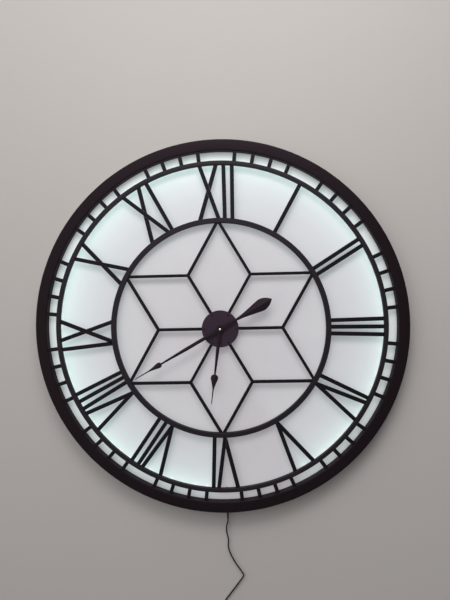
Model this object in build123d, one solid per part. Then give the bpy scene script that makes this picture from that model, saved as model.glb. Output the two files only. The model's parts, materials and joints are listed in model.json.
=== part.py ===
from build123d import *
import math
import os

os.makedirs("parts", exist_ok=True)

# Lengths are in millimetres and angles in degrees, clockwise from twelve o'clock as seen from the front.
# The wall is the plane y = 0, the dial faces -Y, and a depth is a distance in front of the wall.

# Gaps that all pieces share
weld_gap = 0.15
seat_gap = 0.05
running_gap = 0.05

# Rim, a hoop of bent sheet
rim_outer_radius = 500.0
rim_face_width = 29.0
rim_depth = 48.0
rim_sheet = 1.5
rim_edge_radius = 2.0
rim_crown = 0.3

# White panel and rear cover
panel_setback = 20.0
panel_thickness = 3.0
panel_overlap = 14.0
cover_thickness = 3.0
cover_gap = 0.4
service_radius = 46.0

# Lugs, posts and the countersunk screws that hold the cover
fixing_count = 12
lug_first_angle = 5.0
lug_width = 18.0
lug_length = 18.0
lug_sheet = 2.0
lug_flange = 12.0
post_first_angle = 20.0
post_radius = 6.0
post_inset = 18.5
screw_radius = 2.0
screw_head_radius = 4.0
screw_head_height = 2.0
screw_length = 9.0
tapped_depth = 12.0

# Hanger plates with keyholes
hanger_spacing = 240.0
hanger_drop = 112.0
hanger_width = 50.0
hanger_sheet = 2.0
hanger_foot = 22.0
keyhole_radius = 5.0
keyhole_slot_width = 5.0
keyhole_rise = 14.0
keyhole_room = 8.0

# Dial frame: two rings, minute ticks, numerals and the star
dial_setback = 1.0
tick_length = 26.2
minute_ring_width = 11.4
numeral_height = 138.5
inner_ring_width = 13.7
ring_depth = 9.0
ring_edge_radius = 1.5
ring_arcs = 12
ring_joint_angle = 15.0
tick_width = 9.9
tick_depth = 6.0
tick_setback = 1.0
stroke_width = 10.5
stroke_depth = 5.0
stroke_setback = 1.0
stroke_pitch = 20.0
star_bar_width = 8.0
star_bar_depth = 6.0
star_setback = 2.0
ticks_per_hour = 5
hours = 12
star_points = 6
nut_sides = 6

# Hub plate
hub_radius = 49.5
hub_thickness = 2.5
spoke_start_radius = 38.5
hub_screw_circle_radius = 42.5
hub_screw_radius = 1.5
hub_screw_head_radius = 2.75
hub_screw_head_height = 1.4
hub_screw_length = 7.0

# Light: a band behind the minute ring, the strip inside it and its lead
band_inset = 2.0
band_sheet = 1.2
band_depth = 8.0
strip_sheet = 1.4
strip_margin = 0.5
strip_start_angle = 180.0
strip_sweep_angle = 332.0
chip_count = 78
chip_width = 5.0
chip_depth = 4.0
chip_height = 1.4
lead_radius = 1.5
lead_hole_gap = 1.0

# Cord with its gland, coil and plug
cord_radius = 2.0
bend_run_share = 0.45
gland_offset = 7.5
gland_depth = 12.0
gland_neck_radius = 4.2
gland_flange_radius = 6.5
gland_flange_thickness = 1.6
boot_length = 32.0
boot_top_radius = 3.7
boot_end_radius = 2.7
coil_outer_radius = 34.0
coil_pitch = 5.0
coil_layer_step = 5.0
coil_turns_in = 4
coil_half_turns_out = 7
tie_width = 7.0
tie_thickness = 0.8
tie_gap = 0.6
plug_width = 14.0
plug_thickness = 8.0
plug_length = 24.0
plug_corner_radius = 2.5
plug_neck_length = 9.0
plug_neck_radius = 2.9
shell_width = 12.0
shell_thickness = 4.5
shell_length = 13.0
shell_wall = 0.4
tongue_thickness = 1.8
tongue_gap = 0.3

# Cord route from the end of the boot: across, towards the dial, and upwards
cord_route = (
    (0.0, 0.0, 0.0), (0.0, 0.0, -8.0), (-4.7, -1.0, -21.0), (-5.1, -2.0, -38.0), (-0.6, -3.0, -55.0),
    (0.3, -4.0, -67.0), (-1.6, -4.5, -78.0), (0.7, -5.0, -93.0), (7.3, -5.5, -110.0), (17.5, -6.0, -129.0),
    (30.0, -6.0, -148.0), (36.8, -6.0, -158.0), (41.7, -6.0, -165.3), (36.8, -6.0, -172.6),
    (29.6, -6.0, -183.0), (15.1, -6.5, -202.5), (-0.9, -7.0, -223.0), (-15.6, -7.0, -243.2),
    (-25.3, -7.0, -259.9), (-30.4, -7.0, -275.7), (-30.4, -7.0, -288.0),
)
# Tail route from the end of the coil, in the same directions
tail_route = ((0.0, 0.0, 0.0), (0.0, 0.0, -12.0), (1.7, -0.4, -25.0), (1.7, -0.4, -37.0))

# Quartz movement behind the hub plate
case_half_width = 28.0
case_top = 26.0
case_bottom = 29.6
case_depth = 22.0
case_wall = 1.2
case_corner_radius = 3.0
washer_thickness = 1.0
washer_radius = 12.0
bushing_radius = 5.0
bushing_proud = 0.3
fixing_washer_radius = 9.0
fixing_washer_thickness = 0.8
nut_across_flats = 14.0
nut_height = 2.7
battery_radius = 7.25
battery_length = 49.2
battery_nub_radius = 2.75
battery_nub_length = 1.3
battery_drop = 20.5
battery_centre = 11.0
bay_gap = 0.6
contact_size = 9.0
contact_sheet = 0.4
contact_bump_radius = 2.5
contact_gap = 0.25
board_left = 26.0
board_right = 6.0
board_top = 6.0
board_bottom = 12.0
board_thickness = 1.0
board_lift = 2.3
board_post_radius = 1.5
board_post_inset = 3.0
board_chip_size = 7.0
board_chip_height = 1.2
motor_radius = 6.5
motor_depth = 5.6

# Gear train: modules, teeth and the planes of the wheels, measured forwards from the back of the case
motion_module = 0.5
hour_module = 0.4
centre_module = 0.4
third_module = 0.35
pinion_teeth = 12
minute_wheel_teeth = 36
hour_wheel_teeth = 48
train_wheel_teeth = 60
addendum_share = 0.75
dedendum_share = 1.1
tip_width_share = 0.2
pitch_width_share = 0.42
root_width_share = 0.56
wheel_thickness = 1.5
pinion_thickness = 2.3
third_plane = 8.0
centre_plane = 11.5
motion_plane = 15.0
hour_plane = 18.5
minute_wheel_angle = 160.0
setting_angle = 130.0
third_angle = 60.0
motor_angle = -10.0
pivot_radius = 0.75
pivot_depth = 0.8
motor_shaft_radius = 0.5
minute_arbor_radius = 1.75
hour_tube_radius = 2.75
minute_post_radius = 0.9
setting_shaft_radius = 1.5
knob_radius = 5.5
knob_height = 4.5
knob_sides = 20
knob_lift = 0.4

# Hands, in the pose that the photograph shows
minute_hand_angle = 240.6
minute_hand_length = 264.0
minute_taper_start = 105.0
minute_spade_start = 182.5
minute_spade_widest = 190.0
minute_needle_start = 226.0
minute_stem_width = 9.2
minute_stem_end_width = 4.5
minute_spade_width = 15.0
minute_needle_width = 2.2
minute_tail_length = 158.5
minute_tail_widest = 127.0
minute_tail_width = 32.8
minute_tail_neck = 46.0
minute_tail_neck_width = 6.4
minute_tail_slope_share = 0.85
hour_hand_angle = 187.9
hour_hand_length = 202.0
hour_taper_start = 60.0
hour_spade_start = 122.5
hour_spade_widest = 131.5
hour_needle_start = 167.0
hour_stem_width = 9.0
hour_stem_end_width = 4.6
hour_spade_width = 20.2
hour_needle_width = 2.2
needle_tip_width = 0.8
leaf_round_share = 0.12
leaf_ease_share = 0.33
hand_thickness = 1.5
hand_boss_radius = 8.0
hand_gap = 0.5
collet_radius = 4.2
collet_height = 1.2
hour_tube_proud = 0.8
thread_radius = 1.4
thread_length = 2.4
hand_nut_radius = 3.3
hand_nut_height = 3.8
hand_nut_dome = 1.2

# Depths and radii that follow from the sizes above
rim_inner_radius = rim_outer_radius - rim_face_width
hoop_radius = rim_outer_radius - rim_sheet
panel_front = rim_depth - panel_setback
panel_back = panel_front - panel_thickness
dial_front = rim_depth - dial_setback
ring_back = dial_front - ring_depth
minute_ring_outer_radius = rim_inner_radius - tick_length
minute_ring_inner_radius = minute_ring_outer_radius - minute_ring_width
inner_ring_outer_radius = minute_ring_inner_radius - numeral_height
inner_ring_inner_radius = inner_ring_outer_radius - inner_ring_width
star_front = dial_front - star_setback
star_back = star_front - star_bar_depth
hub_back = star_front
hub_front = hub_back + hub_thickness
case_front = hub_back - washer_thickness
case_back = case_front - case_depth
case_inner_front = case_front - case_wall
case_inner_back = case_back + case_wall
nut_seat = hub_front + fixing_washer_thickness
bushing_front = nut_seat + nut_height + bushing_proud
hour_hand_back = bushing_front + hand_gap + collet_height
hour_hand_front = hour_hand_back + hand_thickness
hour_tube_front = hour_hand_front + hour_tube_proud
minute_hand_back = hour_tube_front + hand_gap + collet_height
minute_hand_front = minute_hand_back + hand_thickness
hanger_height = rim_outer_radius - hanger_drop
gland_level = -rim_outer_radius
boot_top = gland_level - gland_flange_thickness
boot_end = boot_top - boot_length
cord_start = (gland_offset, gland_depth, boot_end)


def dial_plane(depth):
    return Plane(origin=(0, -depth, 0), x_dir=(1, 0, 0), z_dir=(0, -1, 0))


def plate(outline, back, front):
    return extrude(dial_plane(back) * outline, amount=front - back)


def rod(centre, radius, back, front):
    return plate(Pos(*centre) * Circle(radius), back, front)


def turned(piece, angle):
    return Rot(0, angle, 0) * piece


def clock_point(radius, angle):
    return radius * math.sin(math.radians(angle)), radius * math.cos(math.radians(angle))


def polar_point(radius, angle):
    return radius * math.cos(math.radians(angle)), radius * math.sin(math.radians(angle))


def shifted(point, step):
    return point[0] + step[0], point[1] + step[1]


def save(name, *pieces):
    solids = [solid for piece in pieces for solid in piece.solids()]
    shape = solids[0] if len(solids) == 1 else Compound(children=solids)
    export_step(shape, f"parts/{name}.step")


# Rim: the hoop's section is turned about the clock's axis
def channel_face(outer, inner, front, edge):
    shoulder = front - rim_crown
    bow = edge * (1 - math.sqrt(0.5))
    bend = edge - shoulder
    sides = Polyline((inner, bend), (inner, 0), (outer, 0), (outer, bend))
    outer_bend = ThreePointArc((outer, bend), (outer - bow, bow - shoulder), (outer - edge, -shoulder))
    crown = ThreePointArc((outer - edge, -shoulder), ((outer + inner) / 2, -front), (inner + edge, -shoulder))
    inner_bend = ThreePointArc((inner + edge, -shoulder), (inner + bow, bow - shoulder), (inner, bend))
    return make_face(sides + outer_bend + crown + inner_bend)


def make_rim():
    outside = channel_face(rim_outer_radius, rim_inner_radius, rim_depth, rim_edge_radius)
    inside = channel_face(
        hoop_radius, rim_inner_radius + rim_sheet, rim_depth - rim_sheet, rim_edge_radius - rim_sheet
    )
    open_back = Pos(rim_inner_radius, -panel_front / 2) * Rectangle(rim_face_width, panel_front)
    hoop = revolve(outside - inside - open_back, axis=Axis.Y)
    gland_hole = Pos(gland_offset, -gland_depth, gland_level) * Cylinder(
        gland_neck_radius + seat_gap, 2 * gland_flange_radius
    )
    return hoop - gland_hole


def fixing_angles(first):
    return [first + step * 360 / fixing_count for step in range(fixing_count)]


lug_screw_radius = hoop_radius - lug_length / 2
post_circle_radius = hoop_radius - post_inset
screw_places = [clock_point(lug_screw_radius, angle) for angle in fixing_angles(lug_first_angle)]
screw_places += [clock_point(post_circle_radius, angle) for angle in fixing_angles(post_first_angle)]


def countersunk(place, gap):
    upright = (Align.CENTER, Align.CENTER, Align.MIN)
    head = Cone(screw_head_radius + gap, screw_radius + gap, screw_head_height, align=upright)
    shank = Cylinder(screw_radius + gap, screw_length, align=upright)
    return dial_plane(0) * Pos(*place) * (head + shank)


def make_lugs():
    foot_middle = hoop_radius - lug_length / 2
    strip = Pos(0, foot_middle) * Rectangle(lug_width, lug_length)
    hoop_inside = Circle(hoop_radius - seat_gap)
    hole = Pos(0, lug_screw_radius) * Circle(screw_radius + seat_gap)
    foot = plate((strip & hoop_inside) - hole, cover_thickness, cover_thickness + lug_sheet)
    upright = (strip & hoop_inside) - Circle(hoop_radius - seat_gap - lug_sheet)
    flange = plate(upright, cover_thickness + lug_sheet, cover_thickness + lug_sheet + lug_flange)
    return [turned(foot + flange, angle) for angle in fixing_angles(lug_first_angle)]


def make_posts():
    post = rod((0, post_circle_radius), post_radius, cover_thickness, panel_back)
    hole = rod((0, post_circle_radius), screw_radius + seat_gap, 0, cover_thickness + tapped_depth)
    return [turned(post - hole, angle) for angle in fixing_angles(post_first_angle)]


# Hangers: each plate reaches from its keyhole to the rim
hanger_places = [(side * hanger_spacing / 2, hanger_height) for side in (-1, 1)]


def keyhole(place):
    slot_end = Pos(*shifted(place, (0, keyhole_rise))) * Circle(keyhole_slot_width / 2)
    slot = Pos(*shifted(place, (0, keyhole_rise / 2))) * Rectangle(keyhole_slot_width, keyhole_rise)
    return Pos(*place) * Circle(keyhole_radius) + slot + slot_end


def make_hangers():
    reach = Circle(hoop_radius - seat_gap)
    plates = []
    for place in hanger_places:
        tall = rim_outer_radius - place[1] + hanger_foot
        blank = Pos(place[0], place[1] - hanger_foot + tall / 2) * Rectangle(hanger_width, tall)
        outline = (blank & reach) - keyhole(place)
        plates.append(plate(outline, cover_thickness, cover_thickness + hanger_sheet))
    return plates


def make_cover():
    outline = Circle(hoop_radius - cover_gap) - Circle(service_radius)
    room = SlotCenterToCenter(keyhole_rise, 2 * (keyhole_radius + keyhole_room), rotation=90)
    for place in hanger_places:
        outline -= Pos(*shifted(place, (0, keyhole_rise / 2))) * room
    cover = plate(outline, 0, cover_thickness)
    for place in screw_places:
        cover -= countersunk(place, seat_gap)
    return cover


lead_place = (gland_offset, -(minute_ring_inner_radius + minute_ring_width / 2))


def make_panel():
    outline = Circle(rim_inner_radius + panel_overlap) - Circle(service_radius)
    outline -= Pos(*lead_place) * Circle(lead_radius + lead_hole_gap)
    return plate(outline, panel_back, panel_front)


# Dial frame
def make_ring(outer_radius, width):
    ring = plate(Circle(outer_radius) - Circle(outer_radius - width), ring_back, dial_front)
    return fillet(ring.edges().group_by(Axis.Y)[0], ring_edge_radius)


def make_minute_ring():
    # too large for one bar, so arcs are welded end to end
    ring = make_ring(minute_ring_outer_radius, minute_ring_width)
    middle = minute_ring_outer_radius - minute_ring_width / 2
    seam = Pos(0, middle) * Rectangle(weld_gap, 2 * minute_ring_width)
    joint = plate(seam, ring_back - weld_gap, dial_front + weld_gap)
    return ring - [turned(joint, ring_joint_angle + step * 360 / ring_arcs) for step in range(ring_arcs)]


def make_ticks():
    front = dial_front - tick_setback
    reach = rim_inner_radius - minute_ring_inner_radius
    strip = Pos(0, minute_ring_inner_radius + reach / 2) * Rectangle(tick_width, reach)
    room = Circle(rim_inner_radius - weld_gap) - Circle(minute_ring_outer_radius + weld_gap)
    tick = plate(strip & room, front - tick_depth, front)
    minutes = [minute for minute in range(hours * ticks_per_hour) if minute % ticks_per_hour]
    return [turned(tick, minute * 360 / (hours * ticks_per_hour)) for minute in minutes]


def bar_face(start, end, width, overrun):
    run = (end[0] - start[0], end[1] - start[1])
    turn = math.degrees(math.atan2(run[1], run[0]))
    middle = (start[0] + run[0] / 2, start[1] + run[1] / 2)
    return Pos(*middle) * Rot(0, 0, turn) * Rectangle(math.hypot(*run) + 2 * overrun, width)


# Strokes of each numeral as shares of the stroke pitch, sideways of its radius, at the outer and the inner
# ring. Strokes in one bracket are one letter, and the second is cut where it meets the first.
numeral_stroke_shares = {
    "one": (((0.05, 0.15),),),
    "two": (((-0.70, -0.45),), ((0.25, 0.45),)),
    "three": (((-0.95, -0.85),), ((0.10, 0.02),), ((1.15, 0.90),)),
    "four": (((-1.40, -1.00),), ((-0.70, 0.25), (2.00, 0.25))),
    "five": (((-1.50, 0.05), (1.35, 0.05)),),
    "six": (((0.68, -0.30), (-1.95, -0.30)), ((1.40, 1.10),)),
    "seven": (((0.25, -0.65), (-2.50, -0.65)), ((0.92, 0.32),), ((1.95, 1.35),)),
    "eight": (((-0.45, -1.30), (-3.25, -1.30)), ((0.30, 0.38),), ((1.40, 1.15),), ((2.45, 1.92),)),
    "nine": (((-2.45, -1.72),), ((1.40, -1.40), (-1.20, 1.15))),
    "ten": (((-1.20, 1.00), (1.05, -1.10)),),
    "eleven": (((-2.00, 0.75), (0.45, -1.70)), ((1.60, 1.40),)),
    "twelve": (((-2.30, 0.10), (-0.10, -2.25)), ((0.90, 0.95),), ((2.02, 1.95),)),
}
least_piece_share = 0.1


def stroke_face(shares, widening):
    outer = (shares[0] * stroke_pitch, minute_ring_inner_radius)
    inner = (shares[1] * stroke_pitch, inner_ring_outer_radius)
    room = Circle(minute_ring_inner_radius - weld_gap) - Circle(inner_ring_outer_radius + weld_gap)
    return bar_face(outer, inner, stroke_width + widening, stroke_width) & room


def make_numeral(letters, angle):
    front = dial_front - stroke_setback
    bars = []
    for letter in letters:
        first = stroke_face(letter[0], 0)
        faces = list(first.faces())
        for shares in letter[1:]:
            second = stroke_face(shares, 0)
            least = least_piece_share * second.area
            rest = second - stroke_face(letter[0], 2 * weld_gap)
            faces += [face for face in rest.faces() if face.area > least]
        bars += [turned(plate(Sketch() + face, front - stroke_depth, front), angle) for face in faces]
    return bars


# Star: spokes run from the hub plate to the inner corners, and rays from there to the inner ring, on lines
# that meet in the middle of its width
star_step = 360 / star_points
corner_radius = (inner_ring_inner_radius + inner_ring_width / 2) / math.sqrt(3)
tip_lead = weld_gap / math.sin(math.radians(star_step))


def pointed_bar(length):
    # A bar along +Y from the origin, with a point at its start for a joint of three bars
    half = star_bar_width / 2
    shoulder = tip_lead + half / math.tan(math.radians(star_step))
    right_side = [(0, tip_lead), (half, shoulder), (half, length)]
    return make_face(Polyline(*right_side, (-half, length), (-half, shoulder), close=True))


def hub_screw_places():
    return [clock_point(hub_screw_circle_radius, star_step * (point + 0.5)) for point in range(star_points)]


def make_star():
    spoke = Pos(0, corner_radius) * Rot(0, 0, 180) * pointed_bar(corner_radius - spoke_start_radius)
    spoke -= Pos(0, hub_screw_circle_radius) * Circle(hub_screw_radius + seat_gap)
    room = Circle(inner_ring_inner_radius - weld_gap)
    seam = Rot(0, 0, star_step / 2) * Pos(0, inner_ring_inner_radius) * Rectangle(
        weld_gap, inner_ring_inner_radius
    )
    ray = Pos(0, corner_radius) * Rot(0, 0, star_step) * pointed_bar(inner_ring_inner_radius)
    ray = Sketch() + max(((ray & room) - seam).faces(), key=lambda face: face.area)
    bars = []
    for point in range(star_points):
        angle = star_step * (point + 0.5)
        for outline in (spoke, ray, mirror(ray, about=Plane.YZ)):
            bars.append(turned(plate(outline, star_back, star_front), angle))
    return bars


def make_hub():
    outline = Circle(hub_radius) - Circle(bushing_radius + seat_gap)
    for place in hub_screw_places():
        outline -= Pos(*place) * Circle(hub_screw_radius + seat_gap)
    return plate(outline, hub_back, hub_front)


def make_hub_screws():
    screws = []
    for place in hub_screw_places():
        head = rod(place, hub_screw_head_radius, hub_front, hub_front + hub_screw_head_height)
        head = fillet(head.edges().group_by(Axis.Y)[0], hub_screw_head_height / 2)
        screws.append(head + rod(place, hub_screw_radius, hub_front - hub_screw_length, hub_front))
    return screws


# Light
band_outer_radius = minute_ring_outer_radius - band_inset
band_back = ring_back - band_depth
strip_outer_radius = band_outer_radius - band_sheet - seat_gap
chip_outer_radius = strip_outer_radius - strip_sheet


def make_band():
    return plate(Circle(band_outer_radius) - Circle(band_outer_radius - band_sheet), band_back, ring_back)


def make_strip():
    gap_corners = [
        clock_point(2 * strip_outer_radius, strip_start_angle + turn)
        for turn in (strip_sweep_angle, (strip_sweep_angle + 360) / 2, 360)
    ]
    gap = make_face(Polyline((0, 0), *gap_corners, close=True))
    outline = Circle(strip_outer_radius) - Circle(chip_outer_radius) - gap
    return plate(outline, band_back + strip_margin, ring_back - strip_margin)


def make_chips():
    flat = math.sqrt(chip_outer_radius ** 2 - (chip_width / 2) ** 2)
    middle = (band_back + ring_back) / 2
    chip = Pos(0, -middle, flat - chip_height / 2) * Box(chip_width, chip_depth, chip_height)
    step = strip_sweep_angle / chip_count
    return [turned(chip, strip_start_angle + (place + 0.5) * step) for place in range(chip_count)]


def make_lead():
    inner_end = gland_level + gland_flange_thickness + 2 * rim_sheet
    corners = [
        (gland_offset, -gland_depth, inner_end),
        (gland_offset, -gland_depth, lead_place[1]),
        (gland_offset, -(band_back + strip_margin), lead_place[1]),
    ]
    rise = band_back + strip_margin - gland_depth
    path = FilletPolyline(*corners, radius=rise / 2)
    section = Plane(origin=corners[0], z_dir=(0, 0, 1)) * Circle(lead_radius)
    return sweep(section, path=path)


# Cord: gland and boot, the free stretch, the coil and the plug
def make_gland():
    outside = gland_level - gland_flange_thickness
    inside = gland_level + 2 * rim_sheet
    lift = gland_flange_thickness
    axis = Pos(gland_offset, -gland_depth, 0)
    upright = (Align.CENTER, Align.CENTER, Align.MIN)
    flange = Pos(0, 0, outside) * Cylinder(gland_flange_radius, lift - seat_gap, align=upright)
    neck = Pos(0, 0, outside) * Cylinder(gland_neck_radius, inside + lift - outside, align=upright)
    inner_nut = Pos(0, 0, inside) * extrude(RegularPolygon(gland_flange_radius, nut_sides), lift)
    return axis * (flange + neck + inner_nut)


def make_boot():
    upright = (Align.CENTER, Align.CENTER, Align.MIN)
    cone = Cone(boot_end_radius, boot_top_radius, boot_length, align=upright)
    return Pos(gland_offset, -gland_depth, boot_end) * cone


def route_points(route, start):
    return [
        Vector(start[0] + across, -(start[1] + forwards), start[2] + upwards)
        for across, forwards, upwards in route
    ]


def route_tube(name, points):
    radii = []
    for before, corner, after in zip(points, points[1:], points[2:]):
        turn = (corner - before).get_angle(after - corner)
        shorter = min((corner - before).length, (after - corner).length)
        radii.append(bend_run_share * shorter / math.tan(math.radians(turn) / 2))
    path = FilletPolyline(*points, radius=radii)
    section = Plane(origin=points[0], z_dir=points[1] - points[0]) * Circle(cord_radius)
    tube = sweep(section, path=path)
    volume_ratio = tube.volume / (math.pi * cord_radius ** 2 * path.length)
    print(name, "length", round(path.length, 1), "volume ratio", round(volume_ratio, 4))
    print(name, "radii", [round(radius, 1) for radius in radii])
    return tube


def biarc(start, start_way, end, end_way):
    chord = end - start
    ways = start_way + end_way
    bend = 2 * (1 - start_way.dot(end_way))
    along = chord.dot(ways)
    reach = (math.sqrt(along ** 2 + bend * chord.dot(chord)) - along) / bend
    first_corner = start + start_way * reach
    second_corner = end - end_way * reach
    joint = (first_corner + second_corner) / 2
    first = TangentArc(start, joint, tangent=start_way)
    return [first, TangentArc(joint, end, tangent=second_corner - first_corner)]


coil_start = route_points(cord_route, cord_start)[-1]
coil_centre = (coil_start.X + coil_outer_radius, coil_start.Z - 2 * cord_radius)
coil_back = -coil_start.Y
coil_inner_radius = coil_outer_radius - coil_turns_in * coil_pitch
coil_end_radius = coil_inner_radius + coil_half_turns_out * coil_pitch / 2


def coil_knots():
    # Radius and depth at each quarter turn: inwards, a half turn that climbs a layer, and outwards again
    front = coil_back + coil_layer_step
    inwards = [
        (coil_outer_radius - quarter * coil_pitch / 4, coil_back) for quarter in range(4 * coil_turns_in + 1)
    ]
    climb = [(coil_inner_radius, coil_back + coil_layer_step / 2)]
    quarters_out = 2 * coil_half_turns_out
    outwards = [(coil_inner_radius + quarter * coil_pitch / 4, front) for quarter in range(quarters_out + 1)]
    knots = []
    for quarter, (radius, depth) in enumerate(inwards + climb + outwards):
        across, up = polar_point(1, 180 + 90 * quarter)
        place = Vector(coil_centre[0] + radius * across, -depth, coil_centre[1] + radius * up)
        knots.append((place, Vector(-up, 0, across)))
    return knots


def least_coil_gap(arcs, samples=6):
    points = [arc.position_at(step / samples) for arc in arcs for step in range(samples)]
    skipped = 4 * samples
    gaps = [
        (points[later] - points[early]).length
        for early in range(len(points)) for later in range(early + skipped, len(points))
    ]
    return min(gaps) - 2 * cord_radius


def make_coil():
    knots = coil_knots()
    arcs = []
    for (start, start_way), (end, end_way) in zip(knots, knots[1:]):
        arcs += biarc(start, start_way, end, end_way)
    down = Vector(0, 0, -2 * cord_radius)
    entry = Line(coil_start, knots[0][0])
    leaving = Line(knots[-1][0], knots[-1][0] + down)
    path = Wire([entry.edge()] + [arc.edge() for arc in arcs] + [leaving.edge()])
    section = Plane(origin=coil_start, z_dir=down) * Circle(cord_radius)
    coil = sweep(section, path=path)
    volume_ratio = coil.volume / (math.pi * cord_radius ** 2 * path.length)
    print("cord_coil length", round(path.length, 1), "volume ratio", round(volume_ratio, 4))
    print("cord_coil least gap to itself", round(least_coil_gap(arcs), 2))
    return coil, knots[-1][0] + down


def make_tie():
    innermost = coil_inner_radius - cord_radius - tie_gap - tie_width ** 2 / (8 * coil_inner_radius)
    outermost = coil_outer_radius - coil_pitch / 2 + cord_radius + tie_gap
    back = coil_back - cord_radius - tie_gap
    front = coil_back + coil_layer_step + cord_radius + tie_gap
    inside = Box(outermost - innermost, front - back, tie_width)
    outside = Box(outermost - innermost + 2 * tie_thickness, front - back + 2 * tie_thickness, tie_width)
    middle = coil_centre[0] + (innermost + outermost) / 2
    return Pos(middle, -(back + front) / 2, coil_centre[1]) * (outside - inside)


def make_plug(top):
    upright = (Align.CENTER, Align.CENTER, Align.MAX)
    neck = Cone(plug_thickness / 2, plug_neck_radius, plug_neck_length, align=upright)
    block = RectangleRounded(plug_width, plug_thickness, plug_corner_radius)
    grip = neck + extrude(Pos(0, 0, -plug_neck_length) * block, amount=-plug_length)
    shell_top = -(plug_neck_length + plug_length)
    outline = Rectangle(shell_width, shell_thickness)
    hollow = Rectangle(shell_width - 2 * shell_wall, shell_thickness - 2 * shell_wall)
    shell = extrude(Pos(0, 0, shell_top) * (outline - hollow), amount=-shell_length)
    tongue_width = shell_width - 2 * (shell_wall + tongue_gap)
    tongue_offset = (shell_thickness - tongue_thickness) / 2 - shell_wall - tongue_gap
    tongue_face = Pos(0, tongue_offset, shell_top) * Rectangle(tongue_width, tongue_thickness)
    tongue = extrude(tongue_face, amount=-(shell_length - 2 * shell_wall))
    place = Pos(top)
    return place * grip, place * shell, place * tongue


# Movement: axes of the wheels, in the plane of the dial
def centre_distance(module, first_teeth, second_teeth):
    return module * (first_teeth + second_teeth) / 2


centre_axis = (0, 0)
motion_distance = centre_distance(motion_module, pinion_teeth, minute_wheel_teeth)
minute_axis = polar_point(motion_distance, minute_wheel_angle)
setting_axis = shifted(minute_axis, polar_point(motion_distance, setting_angle))
third_axis = polar_point(centre_distance(centre_module, pinion_teeth, train_wheel_teeth), third_angle)
motor_axis = shifted(
    third_axis, polar_point(centre_distance(third_module, pinion_teeth, train_wheel_teeth), motor_angle)
)


def gear(axis, teeth, module, phase, back, thickness):
    pitch_radius = module * teeth / 2
    rings = (
        (pitch_radius - dedendum_share * module, root_width_share),
        (pitch_radius, pitch_width_share),
        (pitch_radius + addendum_share * module, tip_width_share),
    )
    flank = [(radius, -share / 2) for radius, share in rings]
    flank += [(radius, share / 2) for radius, share in reversed(rings)]
    corners = []
    for tooth in range(teeth):
        for radius, offset in flank:
            corners.append(polar_point(radius, phase + (tooth + offset) * 360 / teeth))
    outline = Pos(*axis) * make_face(Polyline(*corners, close=True))
    return plate(outline, case_back + back, case_back + back + thickness)


def meshed(first_teeth, first_phase, direction, second_teeth):
    # Phase of a gear whose space faces the tooth of the first gear, in the direction between their axes
    return direction + 180 - ((first_phase - direction) * first_teeth + 180) / second_teeth


minute_wheel_phase = meshed(pinion_teeth, 0, minute_wheel_angle, minute_wheel_teeth)
setting_phase = meshed(minute_wheel_teeth, minute_wheel_phase, setting_angle, pinion_teeth)
hour_wheel_phase = meshed(pinion_teeth, 0, minute_wheel_angle + 180, hour_wheel_teeth)
third_pinion_phase = meshed(train_wheel_teeth, 0, third_angle, pinion_teeth)
motor_pinion_phase = meshed(train_wheel_teeth, 0, motor_angle, pinion_teeth)

case_height = case_top + case_bottom
case_middle = (case_top - case_bottom) / 2
bay_place = (0, -battery_drop)
motor_back = case_inner_back + seat_gap
motor_front = motor_back + motor_depth
wheel_lead = (pinion_thickness - wheel_thickness) / 2


def case_outline(inset):
    wide, tall = 2 * (case_half_width - inset), case_height - 2 * inset
    return Pos(0, case_middle) * RectangleRounded(wide, tall, case_corner_radius - inset)


def make_case():
    case = plate(case_outline(0), case_inner_back, case_front)
    case -= plate(case_outline(case_wall), case_inner_back, case_inner_front)
    case -= rod(centre_axis, bushing_radius + seat_gap, case_inner_front, case_front)
    case += rod(minute_axis, minute_post_radius, case_back + motion_plane - wheel_lead, case_inner_front)
    for axis in (third_axis, setting_axis):
        case -= rod(axis, pivot_radius + running_gap, case_inner_front, case_inner_front + pivot_depth)
    return case


board_width = board_left - board_right
board_height = board_top + board_bottom
board_place = (-(board_left + board_right) / 2, (board_top - board_bottom) / 2)
board_back = case_inner_back + board_lift


def make_case_back():
    bay = Rectangle(2 * (case_half_width - 2 * case_wall), 2 * (battery_radius + bay_gap))
    outline = case_outline(0) - Pos(*bay_place) * bay
    outline -= Pos(*setting_axis) * Circle(setting_shaft_radius + running_gap)
    back = plate(outline, case_back, case_inner_back)
    for axis in (centre_axis, third_axis):
        back -= rod(axis, pivot_radius + running_gap, case_inner_back - pivot_depth, case_inner_back)
    for side in (-1, 1):
        offset = (side * (board_width / 2 - board_post_inset), side * (board_height / 2 - board_post_inset))
        back += rod(shifted(board_place, offset), board_post_radius, case_inner_back, board_back)
    return back


def make_bushing():
    outline = Circle(bushing_radius) - Circle(hour_tube_radius + running_gap)
    return plate(outline, case_inner_front, bushing_front)


def make_rubber_washer():
    return plate(Circle(washer_radius) - Circle(bushing_radius + seat_gap), case_front, hub_back)


def make_fixing_washer():
    outline = Circle(fixing_washer_radius) - Circle(bushing_radius + seat_gap)
    return plate(outline, hub_front, nut_seat)


def make_fixing_nut():
    blank = RegularPolygon(nut_across_flats / 2, nut_sides, major_radius=False)
    return plate(blank - Circle(bushing_radius + seat_gap), nut_seat, nut_seat + nut_height)


def make_battery():
    along_x = Rot(0, 90, 0)
    nub_middle = (battery_length + battery_nub_length) / 2
    nub = Pos(0, 0, nub_middle) * Cylinder(battery_nub_radius, battery_nub_length)
    cell = Cylinder(battery_radius, battery_length) + nub
    return Pos(-battery_nub_length / 2, -(case_back + battery_centre), -battery_drop) * along_x * cell


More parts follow.
